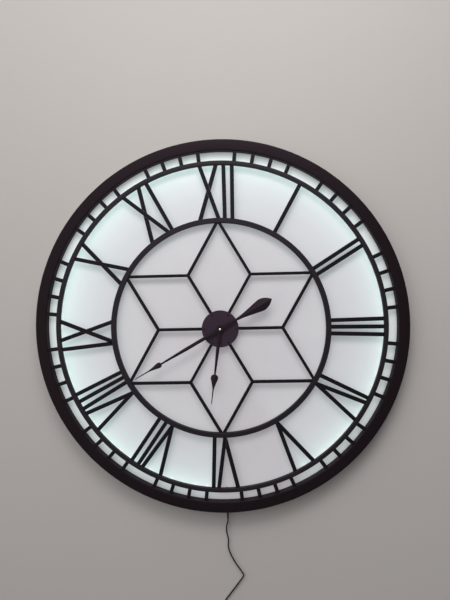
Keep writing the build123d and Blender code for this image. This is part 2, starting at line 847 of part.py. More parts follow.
def make_contacts():
    reach = (battery_length + battery_nub_length) / 2
    plate_middle = case_half_width - case_wall - seat_gap - contact_sheet / 2
    bump_length = plate_middle - contact_sheet / 2 - contact_gap - reach
    contacts = []
    for side in (-1, 1):
        blade = Pos(side * plate_middle, 0, 0) * Box(contact_sheet, contact_size, contact_size)
        bump_middle = side * (reach + contact_gap + bump_length / 2)
        bump = Pos(bump_middle, 0, 0) * Rot(0, 90, 0) * Cylinder(contact_bump_radius, bump_length)
        contacts.append(Pos(0, -(case_back + battery_centre), -battery_drop) * (blade + bump))
    return contacts


def make_board():
    front = board_back + board_thickness
    board = plate(Pos(*board_place) * Rectangle(board_width, board_height), board_back, front)
    chip_outline = Pos(*board_place) * Rectangle(board_chip_size, board_chip_size)
    return board + plate(chip_outline, front, front + board_chip_height)


def make_motor():
    can = rod(motor_axis, motor_radius, motor_back, motor_front)
    return can - rod(motor_axis, motor_shaft_radius + running_gap, motor_back + motor_depth / 2, motor_front)


def make_motor_pinion():
    third_back = third_plane - wheel_lead
    pinion = gear(motor_axis, pinion_teeth, third_module, motor_pinion_phase, third_back, pinion_thickness)
    shaft_back = motor_back + motor_depth / 2 + running_gap
    return pinion + rod(motor_axis, motor_shaft_radius, shaft_back, case_back + third_back + pinion_thickness)


def make_third_wheel():
    wheel = gear(third_axis, train_wheel_teeth, third_module, 0, third_plane, wheel_thickness)
    pinion_back = centre_plane - wheel_lead
    pinion = gear(third_axis, pinion_teeth, centre_module, third_pinion_phase, pinion_back, pinion_thickness)
    room = pivot_depth - running_gap
    return wheel + pinion + rod(third_axis, pivot_radius, case_inner_back - room, case_inner_front + room)


def make_centre_wheel():
    wheel = gear(centre_axis, train_wheel_teeth, centre_module, 0, centre_plane, wheel_thickness)
    bore_back = case_back + centre_plane
    return wheel - rod(centre_axis, minute_arbor_radius + seat_gap, bore_back, bore_back + wheel_thickness)


def make_minute_arbor():
    shoulder = case_inner_back + pivot_depth
    arbor = rod(centre_axis, pivot_radius, case_inner_back - pivot_depth + running_gap, shoulder)
    arbor += rod(centre_axis, minute_arbor_radius, shoulder, minute_hand_front)
    arbor += rod(centre_axis, thread_radius, minute_hand_front, minute_hand_front + thread_length)
    cannon_back = motion_plane - wheel_lead
    return arbor + gear(centre_axis, pinion_teeth, motion_module, 0, cannon_back, pinion_thickness)


def make_minute_wheel():
    sizes = (minute_wheel_teeth, motion_module, minute_wheel_phase)
    wheel = gear(minute_axis, *sizes, motion_plane, wheel_thickness)
    boss_back = motion_plane + wheel_thickness
    boss_radius = hour_module * (pinion_teeth / 2 - dedendum_share)
    boss = rod(minute_axis, boss_radius, case_back + boss_back, case_back + hour_plane)
    pinion = gear(minute_axis, pinion_teeth, hour_module, 0, hour_plane - wheel_lead, pinion_thickness)
    bore = rod(minute_axis, minute_post_radius + running_gap, case_inner_back, case_front)
    return wheel + boss + pinion - bore


def make_hour_wheel():
    wheel = gear(centre_axis, hour_wheel_teeth, hour_module, hour_wheel_phase, hour_plane, wheel_thickness)
    tube = rod(centre_axis, hour_tube_radius, case_back + hour_plane, hour_tube_front)
    bore = rod(centre_axis, minute_arbor_radius + running_gap, case_back + motion_plane, hour_tube_front)
    return wheel + tube - bore


def make_setting_knob():
    knob_front = case_back - knob_lift
    outline = Pos(*setting_axis) * RegularPolygon(knob_radius, knob_sides)
    knob = plate(outline, knob_front - knob_height, knob_front)
    pinion = gear(setting_axis, pinion_teeth, motion_module, setting_phase, motion_plane, wheel_thickness)
    shaft = rod(setting_axis, setting_shaft_radius, knob_front, case_back + motion_plane + wheel_thickness)
    pivot_end = case_inner_front + pivot_depth - running_gap
    pivot = rod(setting_axis, pivot_radius, case_back + motion_plane, pivot_end)
    return knob + pinion + shaft + pivot


# Hands: the outline lies along +Y, the needle ahead of the axis and the tail behind it
def leaf_side(broad, slim):
    # Edge of a leaf from its widest place, which it rounds closely, to where it is slim again
    run = slim[1] - broad[1]
    leaving = (broad[0], broad[1] + leaf_round_share * run)
    arriving = (slim[0], slim[1] - leaf_ease_share * run)
    return Bezier(broad, leaving, arriving, slim)


def hand_head(places, widths):
    # Right-hand edge from the middle of the hand to its tip
    taper, start, widest, needle, length = places
    stem, stem_end, broad, slim = [width / 2 for width in widths]
    stem_edge = Polyline((stem, 0), (stem, taper), (stem_end, start))
    shoulder = Spline((stem_end, start), (broad, widest), tangents=[(1, 0), (0, 1)])
    tip = Polyline((slim, needle), (needle_tip_width / 2, length), (0, length))
    return stem_edge + shoulder + leaf_side((broad, widest), (slim, needle)) + tip


def hand_plate(outline, bore, back, front, collet_back, angle):
    boss = Circle(hand_boss_radius)
    body = plate(outline + boss, back, front) + plate(Circle(collet_radius), collet_back, back)
    hole = rod(centre_axis, bore + seat_gap, collet_back, front)
    return turned(body - hole, angle)


def make_hour_hand():
    spade = (hour_spade_start, hour_spade_widest, hour_needle_start)
    widths = (hour_stem_width, hour_stem_end_width, hour_spade_width, hour_needle_width)
    edge = hand_head((hour_taper_start, *spade, hour_hand_length), widths)
    edge += Polyline((0, hour_hand_length), (0, 0), (hour_stem_width / 2, 0))
    outline = make_face(edge) + mirror(make_face(edge), about=Plane.YZ)
    collet_back = hour_hand_back - collet_height
    depths = (hour_hand_back, hour_hand_front, collet_back)
    return hand_plate(outline, hour_tube_radius, *depths, hour_hand_angle)


def make_minute_hand():
    spade = (minute_spade_start, minute_spade_widest, minute_needle_start)
    widths = (minute_stem_width, minute_stem_end_width, minute_spade_width, minute_needle_width)
    edge = hand_head((minute_taper_start, *spade, minute_hand_length), widths)
    neck = (minute_tail_neck_width / 2, -minute_tail_neck)
    broad = (minute_tail_width / 2, -minute_tail_widest)
    edge += Line((0, minute_hand_length), (0, -minute_tail_length))
    tail_way = (1, minute_tail_slope_share)
    edge += Spline((0, -minute_tail_length), broad, tangents=[tail_way, (0, 1)])
    edge += leaf_side(broad, neck)
    edge += Line(neck, (minute_stem_width / 2, 0))
    outline = make_face(edge) + mirror(make_face(edge), about=Plane.YZ)
    collet_back = minute_hand_back - collet_height
    depths = (minute_hand_back, minute_hand_front, collet_back)
    return hand_plate(outline, minute_arbor_radius, *depths, minute_hand_angle)


def make_hand_nut():
    nut = rod(centre_axis, hand_nut_radius, minute_hand_front, minute_hand_front + hand_nut_height)
    nut = fillet(nut.edges().group_by(Axis.Y)[0], hand_nut_dome)
    hole_end = minute_hand_front + thread_length
    return nut - rod(centre_axis, thread_radius + seat_gap, minute_hand_front, hole_end)


# Build and save every piece
save("rim_shell", make_rim())
save("rim_lugs", *make_lugs())
save("rear_cover", make_cover())
save("cover_screws", *[countersunk(place, 0) for place in screw_places])
save("panel_posts", *make_posts())
save("hanger_plates", *make_hangers())
save("face_panel", make_panel())
save("minute_ring", make_minute_ring())
save("inner_ring", make_ring(inner_ring_outer_radius, inner_ring_width))
save("minute_ticks", *make_ticks())
for hour, (name, letters) in enumerate(numeral_stroke_shares.items(), start=1):
    save(f"numeral_{name}", *make_numeral(letters, hour * 360 / hours))
save("star_bars", *make_star())
save("hub_plate", make_hub())
save("hub_screws", *make_hub_screws())
save("led_band", make_band())
save("led_strip", make_strip())
save("led_chips", *make_chips())
save("led_lead", make_lead())

save("cord_gland", make_gland())
save("strain_relief", make_boot())
save("cord_drop", route_tube("cord_drop", route_points(cord_route, cord_start)))
coil, coil_end = make_coil()
save("cord_coil", coil)
save("coil_tie", make_tie())
tail_points = route_points(tail_route, (coil_end.X, -coil_end.Y, coil_end.Z))
save("cord_tail", route_tube("cord_tail", tail_points))
plug_grip, plug_shell, plug_tongue = make_plug(tail_points[-1])
save("plug_grip", plug_grip)
save("plug_shell", plug_shell)
save("plug_tongue", plug_tongue)

save("movement_case", make_case())
save("movement_back", make_case_back())
save("bushing", make_bushing())
save("rubber_washer", make_rubber_washer())
save("fixing_washer", make_fixing_washer())
save("fixing_nut", make_fixing_nut())
save("battery", make_battery())
save("battery_contacts", *make_contacts())
save("circuit_board", make_board())
save("step_motor", make_motor())
save("motor_pinion", make_motor_pinion())
save("third_wheel", make_third_wheel())
save("centre_wheel", make_centre_wheel())
save("minute_arbor", make_minute_arbor())
save("minute_wheel", make_minute_wheel())
save("hour_wheel", make_hour_wheel())
save("setting_knob", make_setting_knob())
save("hour_hand", make_hour_hand())
save("minute_hand", make_minute_hand())
save("hand_nut", make_hand_nut())
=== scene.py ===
import json
import math
import random

import bmesh
import bpy
from mathutils import Matrix, Vector


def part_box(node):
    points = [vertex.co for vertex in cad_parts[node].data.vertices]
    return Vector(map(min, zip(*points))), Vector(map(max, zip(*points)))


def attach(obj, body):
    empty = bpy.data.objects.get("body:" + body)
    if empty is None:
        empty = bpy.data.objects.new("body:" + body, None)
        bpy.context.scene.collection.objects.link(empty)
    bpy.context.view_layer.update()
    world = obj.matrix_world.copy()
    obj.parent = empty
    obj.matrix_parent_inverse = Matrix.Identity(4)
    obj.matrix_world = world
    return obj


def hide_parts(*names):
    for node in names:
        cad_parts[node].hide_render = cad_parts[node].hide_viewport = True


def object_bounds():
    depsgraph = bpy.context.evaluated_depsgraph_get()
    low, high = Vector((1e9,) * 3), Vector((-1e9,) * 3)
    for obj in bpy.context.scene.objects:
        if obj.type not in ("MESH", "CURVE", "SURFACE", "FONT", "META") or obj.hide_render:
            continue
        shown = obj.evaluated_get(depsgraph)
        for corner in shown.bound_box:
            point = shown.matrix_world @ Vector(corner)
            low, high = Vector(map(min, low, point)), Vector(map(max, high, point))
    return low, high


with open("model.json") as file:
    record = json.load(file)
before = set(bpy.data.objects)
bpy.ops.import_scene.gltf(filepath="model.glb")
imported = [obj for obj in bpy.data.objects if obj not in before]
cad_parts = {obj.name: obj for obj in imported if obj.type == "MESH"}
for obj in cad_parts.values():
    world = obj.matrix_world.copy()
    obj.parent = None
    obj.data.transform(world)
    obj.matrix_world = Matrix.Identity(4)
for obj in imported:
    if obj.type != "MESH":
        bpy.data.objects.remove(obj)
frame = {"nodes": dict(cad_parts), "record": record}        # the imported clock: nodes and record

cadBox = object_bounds()     # box of the solids; its low end sets the stage floor's level
mm = 0.001
dialRadii = {"rimInner": 471.0, "ringOuter": 444.8, "ringInner": 433.4}    # millimetres, for several pieces


# Camera, as the clock was photographed: close, a little above the centre and to its right

cameraLook = {
    "place": (0.0601, -1.2499, 0.1219),
    "turnLeft": 2.17, "tilt": -2.145, "roll": 1.32,    # degrees
    "lens": 27.18, "clipStart": 0.01,
}


def addObject(name, data):
    thing = bpy.data.objects.new(name, data)
    bpy.context.scene.collection.objects.link(thing)
    return thing


def addCamera(look):
    data = bpy.data.cameras.new("mainCamera")
    data.lens = look["lens"]
    data.clip_start = look["clipStart"]
    camera = addObject("mainCamera", data)
    turn = Matrix.Rotation(math.radians(look["turnLeft"]), 4, "Z")
    tilt = Matrix.Rotation(math.radians(look["tilt"]), 4, "X")
    roll = Matrix.Rotation(math.radians(look["roll"]), 4, "Y")
    upright = Matrix.Rotation(math.pi / 2, 4, "X")    # from looking down to looking along +Y
    camera.matrix_world = Matrix.Translation(look["place"]) @ turn @ tilt @ roll @ upright
    bpy.context.scene.camera = camera


addCamera(cameraLook)
bpy.context.scene.view_settings.view_transform = "Standard"
print("camera placed")


# Shader helpers

mixSockets = {"first": 6, "second": 7, "result": 2}    # the Mix node's colour sockets
black = (0.0, 0.0, 0.0)


def wire(tree, value, socket):
    if isinstance(value, bpy.types.NodeSocket):
        tree.links.new(value, socket)
    else:
        socket.default_value = value


def mathNode(tree, operation, *values):
    node = tree.nodes.new("ShaderNodeMath")
    node.operation = operation
    for value, socket in zip(values, node.inputs):
        wire(tree, value, socket)
    return node.outputs[0]


def plus(tree, first, second):
    return mathNode(tree, "ADD", first, second)


def minus(tree, first, second):
    return mathNode(tree, "SUBTRACT", first, second)


def times(tree, first, second):
    return mathNode(tree, "MULTIPLY", first, second)


def vectorNode(tree, operation, first, second):
    node = tree.nodes.new("ShaderNodeVectorMath")
    node.operation = operation
    wire(tree, first, node.inputs[0])
    wire(tree, second, node.inputs[1])
    return node.outputs


def remap(tree, value, low, high, toLow=0.0, toHigh=1.0, smooth=False):
    node = tree.nodes.new("ShaderNodeMapRange")
    node.interpolation_type = "SMOOTHSTEP" if smooth else "LINEAR"
    for name, part in (("Value", value), ("From Min", low), ("From Max", high),
                       ("To Min", toLow), ("To Max", toHigh)):
        wire(tree, part, node.inputs[name])
    return node.outputs["Result"]


def mixColour(tree, share, first, second):
    node = tree.nodes.new("ShaderNodeMix")
    node.data_type = "RGBA"
    wire(tree, share, node.inputs[0])
    for value, side in ((first, "first"), (second, "second")):
        colour = value if isinstance(value, bpy.types.NodeSocket) else (*value, 1.0)
        wire(tree, colour, node.inputs[mixSockets[side]])
    return node.outputs[mixSockets["result"]]


def noise(tree, vector, scale, detail, roughness=0.55):
    node = tree.nodes.new("ShaderNodeTexNoise")
    for name, part in (("Vector", vector), ("Scale", scale), ("Detail", detail), ("Roughness", roughness)):
        wire(tree, part, node.inputs[name])
    return node.outputs["Fac"]


def objectPlace(tree):
    return tree.nodes.new("ShaderNodeTexCoord").outputs["Object"]


def components(tree, vector):
    split = tree.nodes.new("ShaderNodeSeparateXYZ")
    wire(tree, vector, split.inputs[0])
    return split.outputs


def newGroup(name, inputs, outputs):
    group = bpy.data.node_groups.new(name, "ShaderNodeTree")
    for socketName in inputs:
        group.interface.new_socket(socketName, in_out="INPUT", socket_type="NodeSocketFloat")
    for socketName, kind in outputs.items():
        group.interface.new_socket(socketName, in_out="OUTPUT", socket_type="NodeSocket" + kind)
    given = group.nodes.new("NodeGroupInput").outputs
    wanted = group.nodes.new("NodeGroupOutput").inputs
    return group, given, wanted


def placeGroup(tree, group, **values):
    node = tree.nodes.new("ShaderNodeGroup")
    node.node_tree = group
    for name, value in values.items():
        wire(tree, value, node.inputs[name])
    return node.outputs


# Shared surface effects

grainEffect = {
    "detail": 4.0, "patchShare": 0.022, "patchDetail": 3.0, "patchRange": (0.3, 0.7),
    "speckShare": 0.4, "speckDetail": 6.0, "speckRoughness": 0.7, "speckRange": (0.35, 0.75),
}
wearEffect = {
    "samples": 4, "facingRange": (0.98, 0.75), "detail": 5.0, "roughness": 0.65, "breakRange": (0.42, 0.66),
}
dustEffect = {"upRange": (0.25, 0.95), "detail": 6.0, "roughness": 0.7, "patchRange": (0.3, 0.75)}
lineEffect = {"detail": 3.0, "roughness": 0.6, "range": (0.28, 0.72)}


def makeSurfaceGrain(effect):
    # fine grain of a coat or moulding, with soft patches and scattered specks
    group, given, wanted = newGroup("surfaceGrain", ["Scale"],
                                    {"Height": "Float", "Mottle": "Float", "Speckle": "Float"})
    place = objectPlace(group)
    wire(group, noise(group, place, given["Scale"], effect["detail"]), wanted["Height"])
    patches = noise(group, place, times(group, given["Scale"], effect["patchShare"]), effect["patchDetail"])
    wire(group, remap(group, patches, *effect["patchRange"]), wanted["Mottle"])
    specks = noise(group, place, times(group, given["Scale"], effect["speckShare"]), effect["speckDetail"],
                   effect["speckRoughness"])
    wire(group, remap(group, specks, *effect["speckRange"]), wanted["Speckle"])
    return group


def makeEdgeWear(effect):
    # rounded edge normal, and a broken mask along the edges
    group, given, wanted = newGroup("edgeWear", ["Radius", "Breakup"], {"Mask": "Float", "Normal": "Vector"})
    bevel = group.nodes.new("ShaderNodeBevel")
    bevel.samples = effect["samples"]
    wire(group, given["Radius"], bevel.inputs["Radius"])
    flat = group.nodes.new("ShaderNodeNewGeometry").outputs["Normal"]
    facing = vectorNode(group, "DOT_PRODUCT", bevel.outputs["Normal"], flat)["Value"]
    edge = remap(group, facing, *effect["facingRange"])
    broken = noise(group, objectPlace(group), given["Breakup"], effect["detail"], effect["roughness"])
    wire(group, times(group, edge, remap(group, broken, *effect["breakRange"])), wanted["Mask"])
    wire(group, bevel.outputs["Normal"], wanted["Normal"])
    return group


def makeSettledDust(effect):
    # dust on what faces up, thicker in patches
    group, given, wanted = newGroup("settledDust", ["Scale"], {"Mask": "Float"})
    normal = group.nodes.new("ShaderNodeNewGeometry").outputs["Normal"]
    upward = remap(group, components(group, normal)["Z"], *effect["upRange"], smooth=True)
    patches = noise(group, objectPlace(group), given["Scale"], effect["detail"], effect["roughness"])
    wire(group, times(group, upward, remap(group, patches, *effect["patchRange"])), wanted["Mask"])
    return group


def makeDrawnLines(effect):
    # streaks left by drawing, brushing or fibres, as long as the scale on that axis is small
    group, given, wanted = newGroup("drawnLines", ["ScaleX", "ScaleY", "ScaleZ"], {"Lines": "Float"})
    stretch = group.nodes.new("ShaderNodeCombineXYZ")
    for axis in "XYZ":
        wire(group, given["Scale" + axis], stretch.inputs[axis])
    place = vectorNode(group, "MULTIPLY", objectPlace(group), stretch.outputs[0])[0]
    lines = noise(group, place, 1.0, effect["detail"], effect["roughness"])
    wire(group, remap(group, lines, *effect["range"]), wanted["Lines"])
    return group


surfaceGrain = makeSurfaceGrain(grainEffect)
edgeWear = makeEdgeWear(wearEffect)
settledDust = makeSettledDust(dustEffect)
drawnLines = makeDrawnLines(lineEffect)


# Steps that most finishes share

def newMaterial(name):
    material = bpy.data.materials.new(name)
    material.use_nodes = True
    return material, material.node_tree, material.node_tree.nodes["Principled BSDF"]


def startFinish(name, look):
    material, tree, shader = newMaterial(name)
    return material, tree, shader, placeGroup(tree, surfaceGrain, Scale=look["grainScale"])


def placeWear(tree, look):
    return placeGroup(tree, edgeWear, Radius=look["edgeRadius"], Breakup=look["wearScale"])


def placeLines(tree, scales):
    return placeGroup(tree, drawnLines, **dict(zip(("ScaleX", "ScaleY", "ScaleZ"), scales)))["Lines"]


def mottle(tree, grain, look):
    return mixColour(tree, grain["Mottle"], look["dark"], look["light"])


def roughen(tree, mask, look):
    return remap(tree, mask, 0.0, 1.0, look["smooth"], look["rough"])


def speckle(tree, shader, grain, look):
    wire(tree, roughen(tree, grain["Speckle"], look), shader.inputs["Roughness"])


def addBump(tree, shader, height, depth, normal=None):
    bump = tree.nodes.new("ShaderNodeBump")
    bump.inputs["Distance"].default_value = depth
    wire(tree, height, bump.inputs["Height"])
    if normal is not None:
        wire(tree, normal, bump.inputs["Normal"])
    wire(tree, bump.outputs["Normal"], shader.inputs["Normal"])


# Coats, mouldings and rubbers: two tones in soft patches, grain, worn edges and some dust

def coatedFinish(name, look):
    material, tree, shader, grain = startFinish(name, look)
    wear = placeWear(tree, look)
    dust = placeGroup(tree, settledDust, Scale=look["dustScale"])
    worn = times(tree, wear["Mask"], look["wearAmount"])
    dusty = times(tree, dust["Mask"], look["dustAmount"])
    colour = mottle(tree, grain, look)
    colour = mixColour(tree, worn, colour, look["wornColour"])
    wire(tree, mixColour(tree, dusty, colour, look["dustColour"]), shader.inputs["Base Color"])
    dulled = times(tree, dusty, look["dustDulls"])
    wire(tree, plus(tree, roughen(tree, grain["Speckle"], look), dulled), shader.inputs["Roughness"])
    shader.inputs["Specular IOR Level"].default_value = look["gloss"]
    shader.inputs["Specular Tint"].default_value = (*look["glossTint"], 1.0)
    addBump(tree, shader, grain["Height"], look["grainDepth"], wear["Normal"])
    return material


coatLook = {
    "dark": (0.0042, 0.0026, 0.0035), "light": (0.0056, 0.0035, 0.0047), "glossTint": (1.0, 0.74, 0.88),
    "wornColour": (0.060, 0.052, 0.054), "wearAmount": 0.30, "wearScale": 130.0, "edgeRadius": 0.5 * mm,
    "dustColour": (0.16, 0.145, 0.14), "dustAmount": 0.10, "dustScale": 70.0, "dustDulls": 0.5,
    "smooth": 0.46, "rough": 0.60, "gloss": 0.15, "grainScale": 1400.0, "grainDepth": 0.014 * mm,
}
frameLook = {
    **coatLook, "dark": (0.0064, 0.0050, 0.0067), "light": (0.0084, 0.0066, 0.0088),
    "glossTint": (1.0, 0.88, 1.0), "gloss": 0.24,
}
barLook = {
    **frameLook, "dark": (0.0036, 0.0028, 0.0038), "light": (0.0048, 0.0038, 0.0050), "gloss": 0.15,
}
# The hub plate's coat is a lighter copy of the black coat: painted reflection standing in for the light the
# hub catches
hubLitCopyLook = {
    **coatLook, "dark": (0.0170, 0.0102, 0.0188), "light": (0.0212, 0.0128, 0.0234), "gloss": 0.34,
}
handLook = {
    **coatLook, "dark": (0.0052, 0.0033, 0.0053), "light": (0.0070, 0.0044, 0.0070),
    "smooth": 0.30, "rough": 0.44, "gloss": 0.28, "wearAmount": 0.25, "dustAmount": 0.06,
    "grainScale": 1900.0, "grainDepth": 0.008 * mm, "edgeRadius": 0.25 * mm,
}
mouldedLook = {
    **coatLook, "dark": (0.012, 0.012, 0.013), "light": (0.018, 0.018, 0.019), "glossTint": (1.0, 1.0, 1.0),
    "wearAmount": 0.2, "gloss": 0.30, "smooth": 0.42, "rough": 0.60,
    "grainScale": 2600.0, "grainDepth": 0.02 * mm,
}
vinylLook = {
    **mouldedLook, "dark": (0.0085, 0.0078, 0.008), "light": (0.014, 0.013, 0.0132),
    "wearAmount": 0.12, "gloss": 0.25, "smooth": 0.38, "rough": 0.55, "dustAmount": 0.05,
    "grainScale": 1500.0, "grainDepth": 0.03 * mm,
}
rubberLook = {
    **mouldedLook, "dark": (0.014, 0.0135, 0.013), "light": (0.024, 0.023, 0.022),
    "wearAmount": 0.3, "gloss": 0.35, "smooth": 0.68, "rough": 0.86,
    "grainScale": 3000.0, "grainDepth": 0.03 * mm,
}
insulatorLook = {
    **mouldedLook, "dark": (0.020, 0.020, 0.021), "light": (0.028, 0.028, 0.030), "dustAmount": 0.0,
}
acetalLook = {
    **mouldedLook, "dark": (0.62, 0.59, 0.50), "light": (0.72, 0.70, 0.62), "wornColour": (0.5, 0.46, 0.38),
    "wearAmount": 0.25, "gloss": 0.5, "smooth": 0.32, "rough": 0.46, "dustAmount": 0.04,
    "grainScale": 4000.0, "grainDepth": 0.006 * mm, "edgeRadius": 0.08 * mm,
}


# Metals: drawn or brushed streaks, patches, fine grain

def metalFinish(name, look):
    material, tree, shader, grain = startFinish(name, look)
    wear = placeWear(tree, look)
    lines = placeLines(tree, look["lineScale"])
    colour = mottle(tree, grain, look)
    colour = mixColour(tree, times(tree, lines, look["streakAmount"]), colour, look["streakColour"])
    colour = mixColour(tree, times(tree, wear["Mask"], look["wearAmount"]), colour, look["wornColour"])
    wire(tree, colour, shader.inputs["Base Color"])
    shader.inputs["Metallic"].default_value = 1.0
    wire(tree, roughen(tree, lines, look), shader.inputs["Roughness"])
    height = plus(tree, grain["Height"], times(tree, lines, look["lineHeight"]))
    addBump(tree, shader, height, look["grainDepth"], wear["Normal"])
    return material


zincLook = {
    "dark": (0.42, 0.43, 0.43), "light": (0.60, 0.61, 0.60),
    "streakColour": (0.34, 0.34, 0.33), "streakAmount": 0.35, "lineScale": (60.0, 60.0, 900.0),
    "wornColour": (0.72, 0.72, 0.71), "wearAmount": 0.5, "wearScale": 160.0, "edgeRadius": 0.3 * mm,
    "smooth": 0.30, "rough": 0.48, "grainScale": 2500.0, "grainDepth": 0.01 * mm, "lineHeight": 0.7,
}
nickelLook = {
    **zincLook, "dark": (0.60, 0.58, 0.54), "light": (0.70, 0.68, 0.64), "streakColour": (0.45, 0.43, 0.40),
    "streakAmount": 0.2, "lineScale": (1500.0, 300.0, 120.0), "smooth": 0.16, "rough": 0.30,
}
springLook = {
    **zincLook, "dark": (0.46, 0.45, 0.43), "light": (0.56, 0.55, 0.53), "lineScale": (200.0, 200.0, 2500.0),
    "smooth": 0.20, "rough": 0.36,
}
brassLook = {
    **zincLook, "dark": (0.52, 0.36, 0.13), "light": (0.66, 0.48, 0.20), "streakColour": (0.30, 0.19, 0.07),
    "streakAmount": 0.25, "wornColour": (0.80, 0.64, 0.34), "lineScale": (350.0, 3500.0, 350.0),
    "edgeRadius": 0.15 * mm, "smooth": 0.18, "rough": 0.34,
}
darkBrassLook = {
    **brassLook, "dark": (0.016, 0.012, 0.009), "light": (0.026, 0.019, 0.013),
    "streakColour": (0.01, 0.008, 0.006), "wornColour": (0.05, 0.037, 0.02), "smooth": 0.42, "rough": 0.58,
}
polishLook = {
    **brassLook, "dark": (0.72, 0.63, 0.50), "light": (0.82, 0.74, 0.62), "streakAmount": 0.08,
    "smooth": 0.10, "rough": 0.20, "grainDepth": 0.003 * mm,
}


# White panel: satin sheet, with the light of the strip behind the minute ring painted on it as emission

panelLook = {
    "dark": (0.410, 0.400, 0.416), "light": (0.430, 0.420, 0.436),
    "dustColour": (0.55, 0.52, 0.49), "dustAmount": 0.25, "dustScale": 70.0,
    "smooth": 0.42, "rough": 0.55, "grainScale": 700.0, "grainDepth": 0.01 * mm,
    "glowColour": (0.64, 1.0, 0.94), "leakColour": (0.52, 1.0, 0.82), "sheetColour": (1.0, 0.965, 1.02),
    # All the glow below is painted light: the strip's light on the sheet, set as emission. The light next to
    # the ring also fills in the ring's shadow, the dimming beside the rim is painted shade, and the side swing
    # paints more light towards the upper left
    "sheetGlow": 0.210, "windowShare": 1.3,        # all over the sheet, more in the tick windows
    "nearGlow": 0.16, "nearReach": 16 * mm,        # next to the ring
    "farGlow": 0.30, "farReach": 95 * mm,          # out over the middle of the dial
    "leakGlow": 0.27, "leakReach": 15 * mm,        # past the ring, into the tick windows
    "windowGlow": 0.04,
    "rimShadeReach": 9 * mm, "rimPaintedShade": 0.30,             # less of it beside the rim
    "stripGap": (152.0, 180.0), "gapFade": 6.0, "gapDim": 0.96,    # clock degrees without a strip
    "brightSide": -55.0, "sideSwing": 0.17,        # the glow is stronger towards the upper left
}


def paintedRingLight(tree, look):
    # painted light of the ring by radius and clock angle, where the tick windows are, and the painted shade
    # beside the rim
    ringInner, ringOuter, rimInner = (dialRadii[name] * mm for name in ("ringInner", "ringOuter", "rimInner"))
    place = components(tree, objectPlace(tree))
    across, up = place["X"], place["Z"]
    radius = mathNode(tree, "SQRT", plus(tree, times(tree, across, across), times(tree, up, up)))
    angle = mathNode(tree, "ARCTAN2", across, up)    # clockwise from twelve, -pi to pi

    def fading(distance, reach, strength):
        away = mathNode(tree, "MAXIMUM", distance, 0.0)
        return times(tree, mathNode(tree, "EXPONENT", times(tree, away, -1.0 / reach)), strength)

    inward, outward = minus(tree, ringInner, radius), minus(tree, radius, ringOuter)
    inside = plus(tree, fading(inward, look["nearReach"], look["nearGlow"]),
                  fading(inward, look["farReach"], look["farGlow"]))
    outside = plus(tree, fading(outward, look["leakReach"], look["leakGlow"]), look["windowGlow"])
    beyond = mathNode(tree, "GREATER_THAN", radius, (ringInner + ringOuter) / 2)
    glow = plus(tree, times(tree, outside, beyond), times(tree, inside, minus(tree, 1.0, beyond)))
    first, last, fade = (math.radians(part) for part in (*look["stripGap"], look["gapFade"]))
    opening = remap(tree, angle, first - fade, first + fade, smooth=True)
    closing = remap(tree, mathNode(tree, "ABSOLUTE", angle), last - fade, last, smooth=True)
    closing = times(tree, closing, mathNode(tree, "LESS_THAN", angle, 0.0))
    unlit = times(tree, mathNode(tree, "MAXIMUM", opening, closing), look["gapDim"])
    swing = mathNode(tree, "COSINE", minus(tree, angle, math.radians(look["brightSide"])))
    side = plus(tree, 1.0 - look["sideSwing"] / 2, times(tree, swing, look["sideSwing"]))
    shade = remap(tree, radius, rimInner - look["rimShadeReach"], rimInner, 1.0, 1.0 - look["rimPaintedShade"], smooth=True)
    return times(tree, times(tree, glow, minus(tree, 1.0, unlit)), side), beyond, shade


def panelFinish(name, look):
    material, tree, shader, grain = startFinish(name, look)
    dust = placeGroup(tree, settledDust, Scale=look["dustScale"])
    colour = mottle(tree, grain, look)
    dusty = times(tree, dust["Mask"], look["dustAmount"])
    wire(tree, mixColour(tree, dusty, colour, look["dustColour"]), shader.inputs["Base Color"])
    speckle(tree, shader, grain, look)
    glow, beyond, shade = paintedRingLight(tree, look)
    tint = mixColour(tree, beyond, look["glowColour"], look["leakColour"])
    ringLight = mixColour(tree, glow, black, tint)
    sheetLight = tuple(part * look["sheetGlow"] for part in look["sheetColour"])
    windowLight = tuple(part * look["windowShare"] for part in sheetLight)
    light = vectorNode(tree, "ADD", ringLight, mixColour(tree, beyond, sheetLight, windowLight))[0]
    # the strip's painted light goes into the emission, dimmed beside the rim by painted shade
    wire(tree, mixColour(tree, shade, black, light), shader.inputs["Emission Color"])
    shader.inputs["Emission Strength"].default_value = 1.0
    addBump(tree, shader, grain["Height"], look["grainDepth"])
    return material


# Pressed fibre board of the rear cover

hardboardLook = {
    "dark": (0.115, 0.060, 0.030), "light": (0.215, 0.125, 0.068),
    "fibre": (0.30, 0.19, 0.11), "fibreAmount": 0.55,
    "fibreScales": ((900.0, 200.0, 60.0), (60.0, 200.0, 900.0)),    # upright and lying fibres
    "fleck": (0.060, 0.030, 0.016), "fleckRange": (0.7, 0.95), "fleckAmount": 0.8,
    "edgeRadius": 0.6 * mm, "wearScale": 80.0, "wearAmount": 0.5,
    "smooth": 0.55, "rough": 0.78, "grainScale": 900.0, "grainDepth": 0.03 * mm,
}


def hardboardFinish(name, look):
    material, tree, shader, grain = startFinish(name, look)
    wear = placeWear(tree, look)
    felt = times(tree, *(placeLines(tree, scales) for scales in look["fibreScales"]))
    colour = mottle(tree, grain, look)
    colour = mixColour(tree, times(tree, felt, look["fibreAmount"]), colour, look["fibre"])
    fleck = remap(tree, grain["Speckle"], *look["fleckRange"], 0.0, look["fleckAmount"])
    colour = mixColour(tree, fleck, colour, look["fleck"])
    worn = times(tree, wear["Mask"], look["wearAmount"])
    wire(tree, mixColour(tree, worn, colour, look["fibre"]), shader.inputs["Base Color"])
    wire(tree, roughen(tree, felt, look), shader.inputs["Roughness"])
    addBump(tree, shader, plus(tree, grain["Height"], felt), look["grainDepth"], wear["Normal"])
    return material


# Light strip: white tape with copper pads, and the little lenses on it

